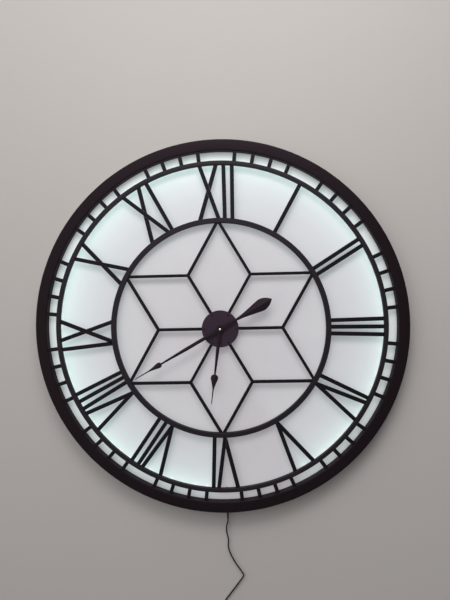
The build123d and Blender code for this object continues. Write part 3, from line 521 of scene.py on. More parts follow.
stripLook = {
    "white": (0.74, 0.74, 0.71), "shade": (0.62, 0.61, 0.57), "pad": (0.62, 0.38, 0.16),
    "padStep": 12.78, "padShare": 0.05,    # clock degrees from pad to pad
    "smooth": 0.35, "rough": 0.5, "grainScale": 1800.0, "grainDepth": 0.01 * mm,
}
lensLook = {
    "lit": (1.0, 0.98, 0.90), "phosphor": (0.80, 0.66, 0.24), "strength": 2.5,
    "smooth": 0.15, "rough": 0.3, "grainScale": 2500.0, "grainDepth": 0.01 * mm,
}


def stripFinish(name, look):
    material, tree, shader, grain = startFinish(name, look)
    place = components(tree, objectPlace(tree))
    angle = mathNode(tree, "ARCTAN2", place["X"], place["Z"])
    step = times(tree, angle, 1.0 / math.radians(look["padStep"]))
    pad = mathNode(tree, "LESS_THAN", mathNode(tree, "FRACT", step), look["padShare"])
    colour = mixColour(tree, grain["Mottle"], look["shade"], look["white"])
    wire(tree, mixColour(tree, pad, colour, look["pad"]), shader.inputs["Base Color"])
    wire(tree, pad, shader.inputs["Metallic"])
    speckle(tree, shader, grain, look)
    addBump(tree, shader, grain["Height"], look["grainDepth"])
    return material


def lensFinish(name, look):
    material, tree, shader, grain = startFinish(name, look)
    for mask, socket in (("Speckle", "Base Color"), ("Mottle", "Emission Color")):
        wire(tree, mixColour(tree, grain[mask], look["phosphor"], look["lit"]), shader.inputs[socket])
    shader.inputs["Emission Strength"].default_value = look["strength"]
    speckle(tree, shader, grain, look)
    addBump(tree, shader, grain["Height"], look["grainDepth"])
    return material


# Battery: plain jacket with a copper shoulder and bare steel ends, by its own box

batteryLook = {
    "jacket": (0.020, 0.021, 0.024), "shoulder": (0.55, 0.29, 0.12), "steel": (0.56, 0.56, 0.55),
    "shoulderShare": 0.72, "endShare": 0.03, "lineScale": (3000.0, 150.0, 150.0), "lineAmount": 0.12,
    "smooth": 0.22, "rough": 0.38, "grainScale": 2500.0, "grainDepth": 0.006 * mm,
}


def batteryFinish(name, look):
    material, tree, shader, grain = startFinish(name, look)
    low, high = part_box("battery")
    lines = placeLines(tree, look["lineScale"])
    along = remap(tree, components(tree, objectPlace(tree))["X"], low.x, high.x)
    copper = mathNode(tree, "GREATER_THAN", along, look["shoulderShare"])
    fromMiddle = mathNode(tree, "ABSOLUTE", minus(tree, along, 0.5))
    bare = mathNode(tree, "GREATER_THAN", fromMiddle, 0.5 - look["endShare"])
    colour = mixColour(tree, copper, look["jacket"], look["shoulder"])
    colour = mixColour(tree, bare, colour, look["steel"])
    colour = mixColour(tree, times(tree, lines, look["lineAmount"]), colour, black)
    wire(tree, colour, shader.inputs["Base Color"])
    wire(tree, mathNode(tree, "MAXIMUM", copper, bare), shader.inputs["Metallic"])
    speckle(tree, shader, grain, look)
    addBump(tree, shader, grain["Height"], look["grainDepth"])
    return material


# Circuit board: green lacquer over copper tracks

boardLook = {
    "lacquer": (0.012, 0.085, 0.035), "track": (0.045, 0.150, 0.060), "edge": (0.30, 0.27, 0.16),
    "trackScale": 260.0, "trackRange": (0.30, 0.34), "trackDepth": 0.03 * mm,
    "edgeRadius": 0.2 * mm, "wearScale": 300.0, "smooth": 0.25, "rough": 0.42, "grainScale": 2200.0,
}


def boardFinish(name, look):
    material, tree, shader, grain = startFinish(name, look)
    wear = placeWear(tree, look)
    cells = tree.nodes.new("ShaderNodeTexVoronoi")
    cells.distance = "CHEBYCHEV"
    cells.feature = "F1"
    cells.inputs["Scale"].default_value = look["trackScale"]
    wire(tree, objectPlace(tree), cells.inputs["Vector"])
    tracks = remap(tree, cells.outputs["Distance"], *look["trackRange"])
    colour = mixColour(tree, tracks, look["lacquer"], look["track"])
    wire(tree, mixColour(tree, wear["Mask"], colour, look["edge"]), shader.inputs["Base Color"])
    speckle(tree, shader, grain, look)
    addBump(tree, shader, tracks, look["trackDepth"], wear["Normal"])
    return material


# Tie: woven nylon band, with painted shade in the hollows between its threads

tieLook = {
    "thread": (0.022, 0.022, 0.024), "between": (0.006, 0.006, 0.007), "threadStep": 0.55 * mm,
    "fuzz": (0.3, 0.7, 0.7, 1.0),    # range of the grain, and the share of the thread that it leaves
    "smooth": 0.62, "rough": 0.85, "sheen": 0.3, "weaveDepth": 0.12 * mm, "grainScale": 2600.0,
}


def tieFinish(name, look):
    material, tree, shader, grain = startFinish(name, look)
    place = components(tree, objectPlace(tree))
    turns = 2 * math.pi / look["threadStep"]
    warp = mathNode(tree, "SINE", times(tree, plus(tree, place["X"], place["Y"]), turns))
    weft = mathNode(tree, "SINE", times(tree, place["Z"], turns))
    weave = remap(tree, times(tree, warp, weft), -1.0, 1.0)
    fuzzy = times(tree, weave, remap(tree, grain["Height"], *look["fuzz"]))
    # darker between the threads: painted shade in the weave's hollows
    wire(tree, mixColour(tree, fuzzy, look["between"], look["thread"]), shader.inputs["Base Color"])
    speckle(tree, shader, grain, look)
    shader.inputs["Sheen Weight"].default_value = look["sheen"]
    addBump(tree, shader, fuzzy, look["weaveDepth"])
    return material


finishes = {    # by slot of the record
    "black_metal": coatedFinish("frameCoat", frameLook),
    "white_panel": panelFinish("satinPanel", panelLook),
    "hardboard": hardboardFinish("pressedBoard", hardboardLook),
    "zinc_steel": metalFinish("zincPlate", zincLook),
    "white_tape": stripFinish("stripTape", stripLook),
    "led_lens": lensFinish("litLens", lensLook),
    "black_cord": coatedFinish("cordVinyl", vinylLook),
    "black_tie": tieFinish("wovenTie", tieLook),
    "plug_metal": metalFinish("nickelPlate", nickelLook),
    "plug_insulator": coatedFinish("plugInsulator", insulatorLook),
    "black_plastic": coatedFinish("blackMoulding", mouldedLook),
    "brass": metalFinish("turnedBrass", brassLook),
    "black_rubber": coatedFinish("blackRubber", rubberLook),
    "battery_jacket": batteryFinish("batteryJacket", batteryLook),
    "spring_steel": metalFinish("springSteel", springLook),
    "board_laminate": boardFinish("boardLacquer", boardLook),
    "gear_plastic": coatedFinish("wheelAcetal", acetalLook),
}
handFinish = coatedFinish("handLacquer", handLook)
barFinish = coatedFinish("barCoat", barLook)
rimFinish = coatedFinish("rimCoat", coatLook)
barNodes = [node for node in frame["nodes"]
            if node.startswith("numeral_") or node in ("star_bars", "minute_ticks")]
ownFinishes = {    # nodes that differ from the rest of their slot
    **dict.fromkeys(barNodes, barFinish),
    "rim_shell": rimFinish,
    # the hub plate gets the lighter copy of the black coat, with its painted reflection
    "hub_plate": coatedFinish("hubCoatPaintedReflection", hubLitCopyLook),
    **dict.fromkeys(("fixing_nut", "fixing_washer"), metalFinish("darkBrass", darkBrassLook)),
}


def dressNodes():
    for entry in frame["record"]["subparts"]:
        piece = frame["nodes"][entry["node"]]
        finish = ownFinishes.get(entry["node"], finishes[entry["material_slot"]])
        if not piece.material_slots:
            piece.data.materials.append(finish)
        for slot in piece.material_slots:
            slot.material = finish


# Mesh helpers

meshLook = {"smoothLimit": 32.0, "roundSides": 32, "ellipse": 2.0}    # degrees, sides, squareness


def clockWay(degrees):
    # unit vector in the dial plane, clockwise from twelve
    angle = math.radians(degrees)
    return Vector((math.sin(angle), 0.0, math.cos(angle)))


def outFromWall(depth):
    return Vector((0.0, -depth, 0.0))


def smoothByAngle(mesh, limit=meshLook["smoothLimit"]):
    shape = bmesh.new()
    shape.from_mesh(mesh)
    bmesh.ops.recalc_face_normals(shape, faces=shape.faces)
    for face in shape.faces:
        face.smooth = True
    for edge in shape.edges:
        edge.smooth = len(edge.link_faces) == 2 and edge.calc_face_angle() < math.radians(limit)
    shape.to_mesh(mesh)
    shape.free()


def looseObject(name, points, faces):
    mesh = bpy.data.meshes.new(name)
    mesh.from_pydata([tuple(point) for point in points], [], faces)
    smoothByAngle(mesh)
    return addObject(name, mesh)


def settle(piece, body, slot, finish, *replaced):
    piece.data.materials.append(finish)
    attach(piece, body)
    if replaced:
        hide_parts(*replaced)


def loftRings(rings, closed=False):
    # skin over rings of equal count: back to the first ring if closed, or with a cap at each end
    count = len(rings[0])
    points = [point for ring in rings for point in ring]
    faces = []
    for level in range(len(rings) if closed else len(rings) - 1):
        low, high = level * count, (level + 1) % len(rings) * count
        for spot in range(count):
            after = (spot + 1) % count
            faces.append((low + spot, low + after, high + after, high + spot))
    if not closed:
        faces.append(tuple(range(count))[::-1])
        faces.append(tuple(range(len(points) - count, len(points))))
    return points, faces


def addCopy(points, faces, newPoints, newFaces):
    base = len(points)
    points += newPoints
    faces += [tuple(base + corner for corner in face) for face in newFaces]


def roundedRing(height, halfWide, halfThick, squareness, count):
    # squareness of 2 is an ellipse, and larger is nearer to a rectangle
    ring = []
    for spot in range(count):
        angle = 2 * math.pi * spot / count
        across, thick = math.cos(angle), math.sin(angle)
        ring.append(Vector((math.copysign(abs(across) ** (2 / squareness), across) * halfWide,
                            math.copysign(abs(thick) ** (2 / squareness), thick) * halfThick, height)))
    return ring


def roundRing(height, radius, count=meshLook["roundSides"]):
    return roundedRing(height, radius, radius, meshLook["ellipse"], count)


def dialDisc(middle, radius, back, front, count):
    # points and faces of a disc that faces the dial, sizes in millimetres
    return loftRings([[(middle + clockWay(360 * spot / count) * radius + outFromWall(depth)) * mm
                       for spot in range(count)] for depth in (back, front)])


def carve(piece, tool, operation):
    modifier = piece.modifiers.new("carve", "BOOLEAN")
    modifier.operation = operation
    modifier.solver = "EXACT"
    modifier.object = tool
    graph = bpy.context.evaluated_depsgraph_get()
    mesh = bpy.data.meshes.new_from_object(piece.evaluated_get(graph))
    piece.modifiers.clear()
    piece.data = mesh
    bpy.data.objects.remove(tool)


# Lead: the route of the solids, hanging down the wall to its put-away coil and plug, millimetres

leadLook = {
    "diameter": 4.0, "length": 1515.0,
    "exit": (7.5, 12.0, -533.6),     # across, out from the wall, up
    "drop": [(0, 0, 0), (0, 0, -8), (-4.7, -1, -21), (-5.1, -2, -38), (-0.6, -3, -55), (0.3, -4, -67),
             (-1.6, -4.5, -78), (0.7, -5, -93), (7.3, -5.5, -110), (17.5, -6, -129), (30, -6, -148),
             (36.8, -6, -158), (41.7, -6, -165.3), (36.8, -6, -172.6), (29.6, -6, -183),
             (15.1, -6.5, -202.5), (-0.9, -7, -223), (-15.6, -7, -243.2), (-25.3, -7, -259.9),
             (-30.4, -7, -275.7), (-30.4, -7, -288)],
    "coilRadius": 34.0, "coilLead": 4.0, "quarterStep": 1.25, "layerRise": 5.0,
    "quartersIn": 16, "quartersUp": 2, "quartersOut": 14, "pointsPerQuarter": 6,
    "tail": [(0, 0, -12), (1.7, -0.4, -25), (1.7, -0.4, -37)],
    "roundSteps": 5, "runSteps": 6, "order": 3,
}


def leadPoints(look):
    points = [Vector(look["exit"]) + Vector(offset) for offset in look["drop"]]
    middle = points[-1] + Vector((look["coilRadius"], 0.0, -look["coilLead"]))
    climbEnd = look["quartersIn"] + look["quartersUp"]
    innermost = look["coilRadius"] - look["quarterStep"] * look["quartersIn"]
    steps = (climbEnd + look["quartersOut"]) * look["pointsPerQuarter"]
    drawIn = math.cos(math.pi / 4 / look["pointsPerQuarter"])    # the spline runs inside its points
    for step in range(steps + 1):
        quarter = step / look["pointsPerQuarter"]
        inward = look["coilRadius"] - look["quarterStep"] * min(quarter, look["quartersIn"])
        outward = innermost + look["quarterStep"] * max(quarter - climbEnd, 0.0)
        radius = max(inward, outward) / drawIn
        climb = min(max((quarter - look["quartersIn"]) / look["quartersUp"], 0.0), 1.0)
        angle = math.pi + quarter * math.pi / 2
        points.append(middle + Vector((radius * math.cos(angle), climb * look["layerRise"],
                                       radius * math.sin(angle))))
    outermost = innermost + look["quarterStep"] * look["quartersOut"]
    leaving = middle + Vector((-outermost, look["layerRise"], -look["coilLead"]))
    points.append(leaving)
    points.extend(leaving + Vector(offset) for offset in look["tail"])
    return [Vector((point.x, -point.y, point.z)) * mm for point in points]


def addLead(look, finish):
    points = leadPoints(look)
    curve = bpy.data.curves.new("leadCord", "CURVE")
    curve.dimensions = "3D"
    curve.bevel_depth = look["diameter"] / 2 * mm
    curve.bevel_resolution = look["roundSteps"]
    curve.use_fill_caps = True
    curve.resolution_u = look["runSteps"]
    spline = curve.splines.new("NURBS")
    spline.points.add(len(points) - 1)
    for knot, point in zip(spline.points, points):
        knot.co = (*point, 1.0)
    spline.order_u = look["order"]
    spline.use_endpoint_u = True
    cord = addObject("leadCord", curve)
    settle(cord, "clock_case", "black_cord", finish, "cord_drop", "cord_coil", "cord_tail")
    return cord, points


lead, leadRoute = addLead(leadLook, finishes["black_cord"])
print("lead laid,", len(leadRoute), "points")


# Ribbed strain relief where the lead leaves the rim, millimetres

bootLook = {
    "ribs": 9, "ribRise": 0.55, "footWall": 0.7, "leastWall": 0.05,
    "rib": [(0.0, 0.0), (0.35, 0.0), (0.45, 1.0), (0.9, 1.0)],    # shares of a rib's step and rise
}


def ribSteps(count, pattern):
    # share of the whole length, and of the rise, at each step of the ribs
    return [((rib + share) / count, rise) for rib in range(count) for share, rise in pattern]


def addBoot(look, finish):
    low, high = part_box("strain_relief")
    place = Vector(((low.x + high.x) / 2, (low.y + high.y) / 2, low.z))
    leadRadius = leadLook["diameter"] / 2
    top, foot = (high.x - low.x) / 2 / mm, leadRadius + look["footWall"]
    sections = []    # share of the length up from the foot, radius
    for along, rise in ribSteps(look["ribs"], look["rib"]):
        radius = foot + (top - foot) * along - (1.0 - rise) * look["ribRise"]
        sections.append((along, max(radius, leadRadius + look["leastWall"])))
    sections.append((1.0, top))
    rings = [[place + point for point in roundRing(along * (high.z - low.z), radius * mm)]
             for along, radius in sections]
    boot = looseObject("leadBoot", *loftRings(rings))
    settle(boot, "clock_case", "black_cord", finish, "strain_relief")
    return boot


boot = addBoot(bootLook, finishes["black_cord"])


# Plug: ribbed neck and waisted grip with ridges, its metal shell kept from the solids, millimetres

plugLook = {
    "neck": 9.0, "neckTop": 2.9, "neckFoot": 4.0, "neckRibs": 4, "neckRise": 0.35,
    "neckRib": [(0.1, 0.0), (0.4, 0.0), (0.55, 1.0), (0.9, 1.0)],    # shares of a rib's step and rise
    "shoulder": 3.5, "shoulderSteps": 6, "halfWide": 7.0, "halfThick": 4.0, "squareness": 4.6,
    "waist": 0.45, "ridges": 6, "ridgeRise": 0.3, "thickShare": 0.6,
    "gripRidge": [(0.15, 0.0), (0.45, 0.0), (0.6, 1.0), (1.0, 1.0)],
    "footRun": 1.0, "footEdge": 0.35, "sides": 40,
}


def addPlug(look, finish):
    low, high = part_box("plug_grip")
    length = (high.z - low.z) / mm
    wide, thick, square = look["halfWide"], look["halfThick"], look["squareness"]
    neckTop, neckFoot, ellipse = look["neckTop"], look["neckFoot"], meshLook["ellipse"]
    sections = [(0.0, neckTop, neckTop, ellipse)]    # down from the top, half sizes, squareness
    for along, rise in ribSteps(look["neckRibs"], look["neckRib"]):
        radius = neckTop + (neckFoot - neckTop) * along - (1.0 - rise) * look["neckRise"]
        sections.append((along * look["neck"], radius, radius, ellipse))
    for step in range(look["shoulderSteps"] + 1):    # shoulder swells from the neck to the grip
        share = step / look["shoulderSteps"]
        swell = math.sin(share * math.pi / 2)
        sections.append((look["neck"] + share * look["shoulder"], neckFoot + (wide - neckFoot) * swell,
                         neckFoot + (thick - neckFoot) * swell, ellipse + (square - ellipse) * swell))
    gripTop, gripFoot = look["neck"] + look["shoulder"], length - look["footRun"]
    for along, rise in ribSteps(look["ridges"], look["gripRidge"]):
        waist = look["waist"] * math.sin(math.pi * along) + (1.0 - rise) * look["ridgeRise"]
        sections.append((gripTop + (gripFoot - gripTop) * along, wide - waist,
                         thick - waist * look["thickShare"], square))
    edge = look["footEdge"]
    sections += [(length - edge, wide, thick, square), (length, wide - edge, thick - edge, square)]
    place = Vector(((low.x + high.x) / 2, (low.y + high.y) / 2, high.z))
    rings = []
    for down, halfWide, halfThick, squareness in sections:
        ring = roundedRing(-down * mm, halfWide * mm, halfThick * mm, squareness, look["sides"])
        rings.append([place + point for point in ring])
    grip = looseObject("plugGrip", *loftRings(rings))
    settle(grip, "clock_case", "black_cord", finish, "plug_grip")
    return grip


plugGrip = addPlug(plugLook, finishes["black_cord"])


# Tie round the coil: a rounded loop with its end lapped over the front, millimetres

bandLook = {
    "thickness": 0.8, "corner": 3.2, "cornerSteps": 8, "lapGap": 0.02, "lapSteps": 12,
    "lapStart": 0.12, "lapEnd": 0.86,        # shares of the tie's width
    "endStart": 0.75, "endNarrows": 0.35,    # the free end is rounded off over its last quarter
}


def addTie(look, finish):
    low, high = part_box("coil_tie")
    middle, half = (low + high) / 2, (high - low) / 2
    thick, corner = look["thickness"] * mm, look["corner"] * mm
    section = [(corner, -half.z), (corner, half.z), (corner - thick, half.z), (corner - thick, -half.z)]
    rings = []
    for side, (signX, signY) in enumerate(((1, -1), (1, 1), (-1, 1), (-1, -1))):
        pivot = middle + Vector((signX * (half.x - corner), signY * (half.y - corner), 0.0))
        for step in range(look["cornerSteps"] + 1):
            angle = math.pi / 2 * (side - 1 + step / look["cornerSteps"])
            out = Vector((math.cos(angle), math.sin(angle), 0.0))
            rings.append([pivot + out * radius + Vector((0.0, 0.0, rise)) for radius, rise in section])
    band = looseObject("coilTie", *loftRings(rings, closed=True))
    lapRings = []
    face = low.y - look["lapGap"] * mm
    for step in range(look["lapSteps"] + 1):
        share = step / look["lapSteps"]
        across = low.x + 2 * half.x * (look["lapStart"] + (look["lapEnd"] - look["lapStart"]) * share)
        ending = max(0.0, share - look["endStart"]) / (1.0 - look["endStart"])
        rise = half.z * (1.0 - look["endNarrows"] * ending ** 2)
        lapRings.append([Vector((across, depth, middle.z + up)) for depth, up in
                         ((face, -rise), (face, rise), (face - thick, rise), (face - thick, -rise))])
    lap = looseObject("tieLap", *loftRings(lapRings))
    settle(band, "clock_case", "black_tie", finish, "coil_tie")
    settle(lap, "clock_case", "black_tie", finish)
    return band, lap


coilTie, tieLap = addTie(bandLook, finishes["black_tie"])

print("lead dressed: boot, plug and tie")


# Rim: a hoop of bent sheet, open at the back, with the hole for the lead, millimetres

rimLook = {
    "outer": 500.0, "inner": dialRadii["rimInner"], "front": 48.0, "sheet": 1.5, "edge": 2.0, "crown": 0.3,
    "panelFront": 28.0, "bendSteps": 6, "crownSteps": 6, "wallRows": (0.0, 5.0, 20.0), "segments": 384,
    "holePlace": leadLook["exit"][:2], "hole": 4.25, "holeReach": 6.0,
}


def turnedHoop(name, section, segments):
    # a closed section of radius and depth, turned about the clock's axis
    rings = []
    for segment in range(segments):
        way = clockWay(360 * segment / segments)
        rings.append([(way * radius + outFromWall(depth)) * mm for radius, depth in section])
    return looseObject(name, *loftRings(rings, closed=True))


def quarterTurn(steps):
    angles = [math.pi / 2 * step / steps for step in range(steps + 1)]
    return [(1 - math.cos(angle), 1 - math.sin(angle)) for angle in angles]


def channelLine(look, outer, inner, front, edge):
    # radius and depth over the front of the hoop, from the outer wall to the inner one
    shoulder = front - look["crown"]
    bends = quarterTurn(look["bendSteps"])
    line = [(outer - edge * start, shoulder - edge * end) for start, end in bends]
    for step in range(1, look["crownSteps"]):
        share = step / look["crownSteps"]
        bow = 1 - (2 * share - 1) ** 2
        line.append((outer - edge - (outer - inner - 2 * edge) * share, shoulder + look["crown"] * bow))
    return line + [(inner + edge * end, shoulder - edge * start) for start, end in bends]


def addRim(look, finish):
    outer, inner, sheet = look["outer"], look["inner"], look["sheet"]
    outside = [(outer, row) for row in look["wallRows"]]
    outside += channelLine(look, outer, inner, look["front"], look["edge"]) + [(inner, look["panelFront"])]
    inside = [(outer - sheet, row) for row in look["wallRows"]]
    inside += channelLine(look, outer - sheet, inner + sheet, look["front"] - sheet, look["edge"] - sheet)
    inside += [(inner + sheet, look["panelFront"])]
    rim = turnedHoop("rimHoop", outside + inside[::-1], look["segments"])
    across, depth = look["holePlace"]
    axis = Vector((across, -depth, 0.0)) * mm
    drill = [[axis + point for point in roundRing(level * mm, look["hole"] * mm)]
             for level in (-outer - look["holeReach"], -outer + look["holeReach"])]
    carve(rim, looseObject("drill", *loftRings(drill)), "DIFFERENCE")
    smoothByAngle(rim.data)
    settle(rim, "clock_case", "black_metal", finish, "rim_shell")


addRim(rimLook, rimFinish)
print("rim bent")


# Minute ring: bar with rounded front edges, its joints welded and dressed flush, millimetres

ringLook = {
    "inner": dialRadii["ringInner"], "outer": dialRadii["ringOuter"], "back": 38.0, "front": 47.0,
    "edge": 1.5, "edgeSteps": 5, "segments": 360,
}


def addRing(look, finish):
    inner, outer, front, edge = (look[name] for name in ("inner", "outer", "front", "edge"))
    bends = quarterTurn(look["edgeSteps"])
    section = [(inner, look["back"]), (outer, look["back"])]
    section += [(outer - edge * start, front - edge * end) for start, end in bends]
    section += [(inner + edge * end, front - edge * start) for start, end in bends]
    ring = turnedHoop("minuteHoop", section, look["segments"])
    settle(ring, "clock_case", "black_metal", finish, "minute_ring")


addRing(ringLook, finishes["black_metal"])


# Welds that close the corners of the star, between its bars, millimetres

weldLook = {
    "corner": 166.3, "first": 30.0, "count": 6, "radius": 3.9, "back": 39.2, "front": 44.9, "sides": 24,
}


def addWelds(look, finish):
    points, faces = [], []
    for count in range(look["count"]):
        middle = clockWay(look["first"] + 360 * count / look["count"]) * look["corner"]
        addCopy(points, faces, *dialDisc(middle, look["radius"], look["back"], look["front"], look["sides"]))
    settle(looseObject("starWelds", points, faces), "clock_case", "black_metal", finish)


addWelds(weldLook, barFinish)
print("ring turned, star welded")


# Hands: thin sheet, folded along the middle, on a flat boss with a collet behind, millimetres

sheetHandLook = {
    "sheet": 0.9, "bossThick": 1.5, "boss": 8.0, "colletLength": 1.2, "colletSink": 0.4, "boreReach": 4.0,
    "foldFrom": 9.0, "foldFull": 26.0, "needle": 3.4, "tip": 2.0, "leastHalf": 0.05, "leafPull": (0.36, 0.99),
    "tailSteps": 16, "tailLeafSteps": 26, "bossSteps": 24, "stemSteps": 6, "spadeSteps": 12, "leafSteps": 20,
    "needleSteps": 4, "discSides": 48, "smoothLimit": 7.0,
}
minuteLook = {
    **sheetHandLook, "name": "minuteHand", "node": "minute_hand", "body": "minute_hand_set", "angle": 240.6,
    "back": 57.0, "bore": 1.78, "collet": 4.2, "fold": 0.17,
    "stem": 9.2, "taperAt": 105.0, "stemEnd": 4.5, "spadeStart": 182.5, "spadeAt": 190.0, "spade": 15.0,
    "needleStart": 226.0, "length": 264.0,
    "tail": 158.5, "tailAt": 127.0, "tailWide": 32.8, "tailSlope": 0.85, "neckAt": 46.0, "neck": 6.4,
}
hourLook = {
    **sheetHandLook, "name": "hourHand", "node": "hour_hand", "body": "hour_hand_set", "angle": 187.9,
    "back": 53.0, "bore": 2.78, "collet": 4.6, "fold": 0.12,
    "stem": 9.0, "taperAt": 60.0, "stemEnd": 4.6, "spadeStart": 122.5, "spadeAt": 131.5, "spade": 20.2,
    "needleStart": 167.0, "length": 202.0,
}


def bend(start, startWay, end, endWay, steps, pulls=(1.0, 1.0)):
    # smooth run between two points, leaving and arriving in the given directions
    reach = (end - start).length
    leaving = startWay.normalized() * reach * pulls[0]
    arriving = endWay.normalized() * reach * pulls[1]
    points = []
    for step in range(1, steps + 1):
        t = step / steps
        points.append(start * (2 * t ** 3 - 3 * t ** 2 + 1) + leaving * (t ** 3 - 2 * t ** 2 + t)
                      + end * (3 * t ** 2 - 2 * t ** 3) + arriving * (t ** 3 - t ** 2))
    return points


def straight(start, end, steps):
    return [start.lerp(end, step / steps) for step in range(1, steps + 1)]


def handEdge(look):
    # half width and place along the hand, from the tail's end to the tip
    along, outward = Vector((0.0, 1.0)), Vector((1.0, 0.0))
    edge = []
    if "tail" in look:
        end = Vector((look["leastHalf"], -look["tail"]))
        broad = Vector((look["tailWide"] / 2, -look["tailAt"]))
        neck = Vector((look["neck"] / 2, -look["neckAt"]))
        edge.append(end)
        edge += bend(end, Vector((1.0, look["tailSlope"])), broad, along, look["tailSteps"])
        edge += bend(broad, along, neck, along, look["tailLeafSteps"], look["leafPull"])
    for step in range(look["bossSteps"] + 1):
        angle = math.pi * step / look["bossSteps"]
        spot = -look["boss"] * math.cos(angle)
        least = look["stem"] / 2 if "tail" in look or spot > 0 else look["leastHalf"]
        edge.append(Vector((max(look["boss"] * math.sin(angle), least), spot)))
    taper = Vector((look["stem"] / 2, look["taperAt"]))
    stemEnd = Vector((look["stemEnd"] / 2, look["spadeStart"]))
    broad = Vector((look["spade"] / 2, look["spadeAt"]))
    needle = Vector((look["needle"] / 2, look["needleStart"]))
    tip = Vector((look["tip"] / 2, look["length"]))
    edge += straight(edge[-1], taper, look["stemSteps"]) + straight(taper, stemEnd, look["stemSteps"])
    edge += bend(stemEnd, outward, broad, along, look["spadeSteps"])
    edge += bend(broad, along, needle, along, look["leafSteps"], look["leafPull"])
    return edge + straight(needle, tip, look["needleSteps"])


def addHand(look, finish):
    forward, right = clockWay(look["angle"]), clockWay(look["angle"] + 90)
    points, faces = [], []
    count = 6    # points of a station: back and front at each edge and at the fold
    for half, place in handEdge(look):
        far = min(max((abs(place) - look["foldFrom"]) / (look["foldFull"] - look["foldFrom"]), 0.0), 1.0)
        folded = far * far * (3 - 2 * far)
        rise = look["fold"] * half * folded
        sheet = look["bossThick"] + (look["sheet"] - look["bossThick"]) * folded
        for side, lift in ((-half, 0.0), (0.0, rise), (half, 0.0)):
            for depth in (look["back"] + lift, look["back"] + lift + sheet):
                points.append((right * side + forward * place + outFromWall(depth)) * mm)
    last = len(points) - count
    for here in range(0, last, count):
        there = here + count
        for first, second in ((0, 2), (2, 4), (4, 5), (5, 3), (3, 1), (1, 0)):
            faces.append((here + first, here + second, there + second, there + first))
    for base in (0, last):
        faces.append((base, base + 2, base + 3, base + 1))
        faces.append((base + 2, base + 4, base + 5, base + 3))
    hand = looseObject(look["name"], points, faces)
    back = look["back"]
    for name, start, end, operation in (("collet", -look["colletLength"], look["colletSink"], "UNION"),
                                        ("bore", -look["boreReach"], look["boreReach"], "DIFFERENCE")):
        disc = dialDisc(Vector((0.0, 0.0, 0.0)), look[name], back + start, back + end, look["discSides"])
        carve(hand, looseObject(name, *disc), operation)
    smoothByAngle(hand.data, look["smoothLimit"])
    settle(hand, look["body"], "black_metal", finish, look["node"])


for look in (minuteLook, hourLook):
    addHand(look, handFinish)
print("hands folded")


# Domed nut that holds the minute hand: polished, with a knurled foot, millimetres

nutLook = {
    "back": 58.5, "foot": 1.1, "footEdge": 0.15, "radius": 3.3, "height": 3.8, "domeShare": 0.985,
    "domeSteps": 12, "domeEnd": 0.985, "knurls": 30, "knurlDepth": 0.12, "knurl": (0, 0, 1, 1),
}


def addNut(look, finish):
    domeFoot = look["foot"] + look["footEdge"]
    # height, share of the width, share of the knurl
    levels = [(0.0, 1.0, 1.0), (look["foot"], 1.0, 1.0), (domeFoot, look["domeShare"], 0.0)]
    for step in range(1, look["domeSteps"] + 1):
        angle = math.pi / 2 * min(step / look["domeSteps"], look["domeEnd"])    # a small flat is left on top
        up = look["height"] - (look["height"] - domeFoot) * (1.0 - math.sin(angle))
        levels.append((up, look["domeShare"] * math.cos(angle), 0.0))
    pattern = look["knurl"] * look["knurls"]
    rings = []
    for up, width, knurl in levels:
        rings.append([(clockWay(360 * spot / len(pattern))
                       * (look["radius"] * width - look["knurlDepth"] * knurl * groove)
                       + outFromWall(look["back"] + up)) * mm for spot, groove in enumerate(pattern)])
    settle(looseObject("domeNut", *loftRings(rings)), "minute_hand_set", "brass", finish, "hand_nut")


addNut(nutLook, metalFinish("polishedBrass", polishLook))
print("nut set on the hands")


# Screws with a cross recess: countersunk in the rear cover, domed on the hub, millimetres

screwLook = {"sides": 28, "recessShare": 0.55, "overrun": 0.2}    # the recess closes towards its bottom
coverScrewLook = {
    **screwLook, "name": "coverScrews", "node": "cover_screws", "slot": "zinc_steel", "seed": 4,
    "profile": [(4.0, 0.0), (3.9, -0.25), (2.0, -2.0), (2.0, -8.8), (1.2, -9.0)],    # radius, height
    "recess": (0.9, 4.4, 1.5),       # slot width, length, depth
    "rows": ((489.5, 5.0, 30.0), (480.0, 20.0, 30.0)),    # circle radius, first angle, step
    "depth": 0.0, "facing": 1.0,
}
hubScrewLook = {
    **screwLook, "name": "hubScrews", "node": "hub_screws", "slot": "black_metal", "seed": 9,
    "profile": [(0.9, 1.4), (1.7, 1.27), (2.4, 0.85), (2.75, 0.3), (2.75, 0.0), (1.5, 0.0), (1.5, -5.5),
                (1.0, -6.0)],
    "recess": (0.7, 3.2, 1.0),
    "rows": ((42.5, 30.0, 60.0),),
    "depth": 47.5, "facing": -1.0,
}


def screwModel(look):
    rings = [roundRing(height * mm, radius * mm, look["sides"]) for radius, height in look["profile"]]
    model = looseObject("screwModel", *loftRings(rings))
    wide, long, deep = look["recess"]
    top = max(height for radius, height in look["profile"])
    for halfX, halfY in ((wide / 2, long / 2), (long / 2, wide / 2)):
        corners = [(-halfX, -halfY), (halfX, -halfY), (halfX, halfY), (-halfX, halfY)]
        rings = [[Vector((x * share, y * share, level)) * mm for x, y in corners] for share, level in
                 ((look["recessShare"], top - deep), (1.0, top + look["overrun"]))]
        carve(model, looseObject("recess", *loftRings(rings)), "DIFFERENCE")
    return model


def addScrews(look, finish):
    model = screwModel(look)
    modelFaces = [tuple(face.vertices) for face in model.data.polygons]
    stand = Matrix.Rotation(-look["facing"] * math.pi / 2, 4, "X")
    draw = random.Random(look["seed"])
    points, faces = [], []
    for radius, first, step in look["rows"]:
        for count in range(round(360 / step)):
            spot = clockWay(first + step * count) * radius + outFromWall(look["depth"])
            turn = Matrix.Rotation(draw.uniform(0.0, math.pi), 4, "Z")
            place = Matrix.Translation(spot * mm) @ stand @ turn
            addCopy(points, faces, [place @ vertex.co for vertex in model.data.vertices], modelFaces)
    bpy.data.objects.remove(model)
    settle(looseObject(look["name"], points, faces), "clock_case", look["slot"], finish, look["node"])


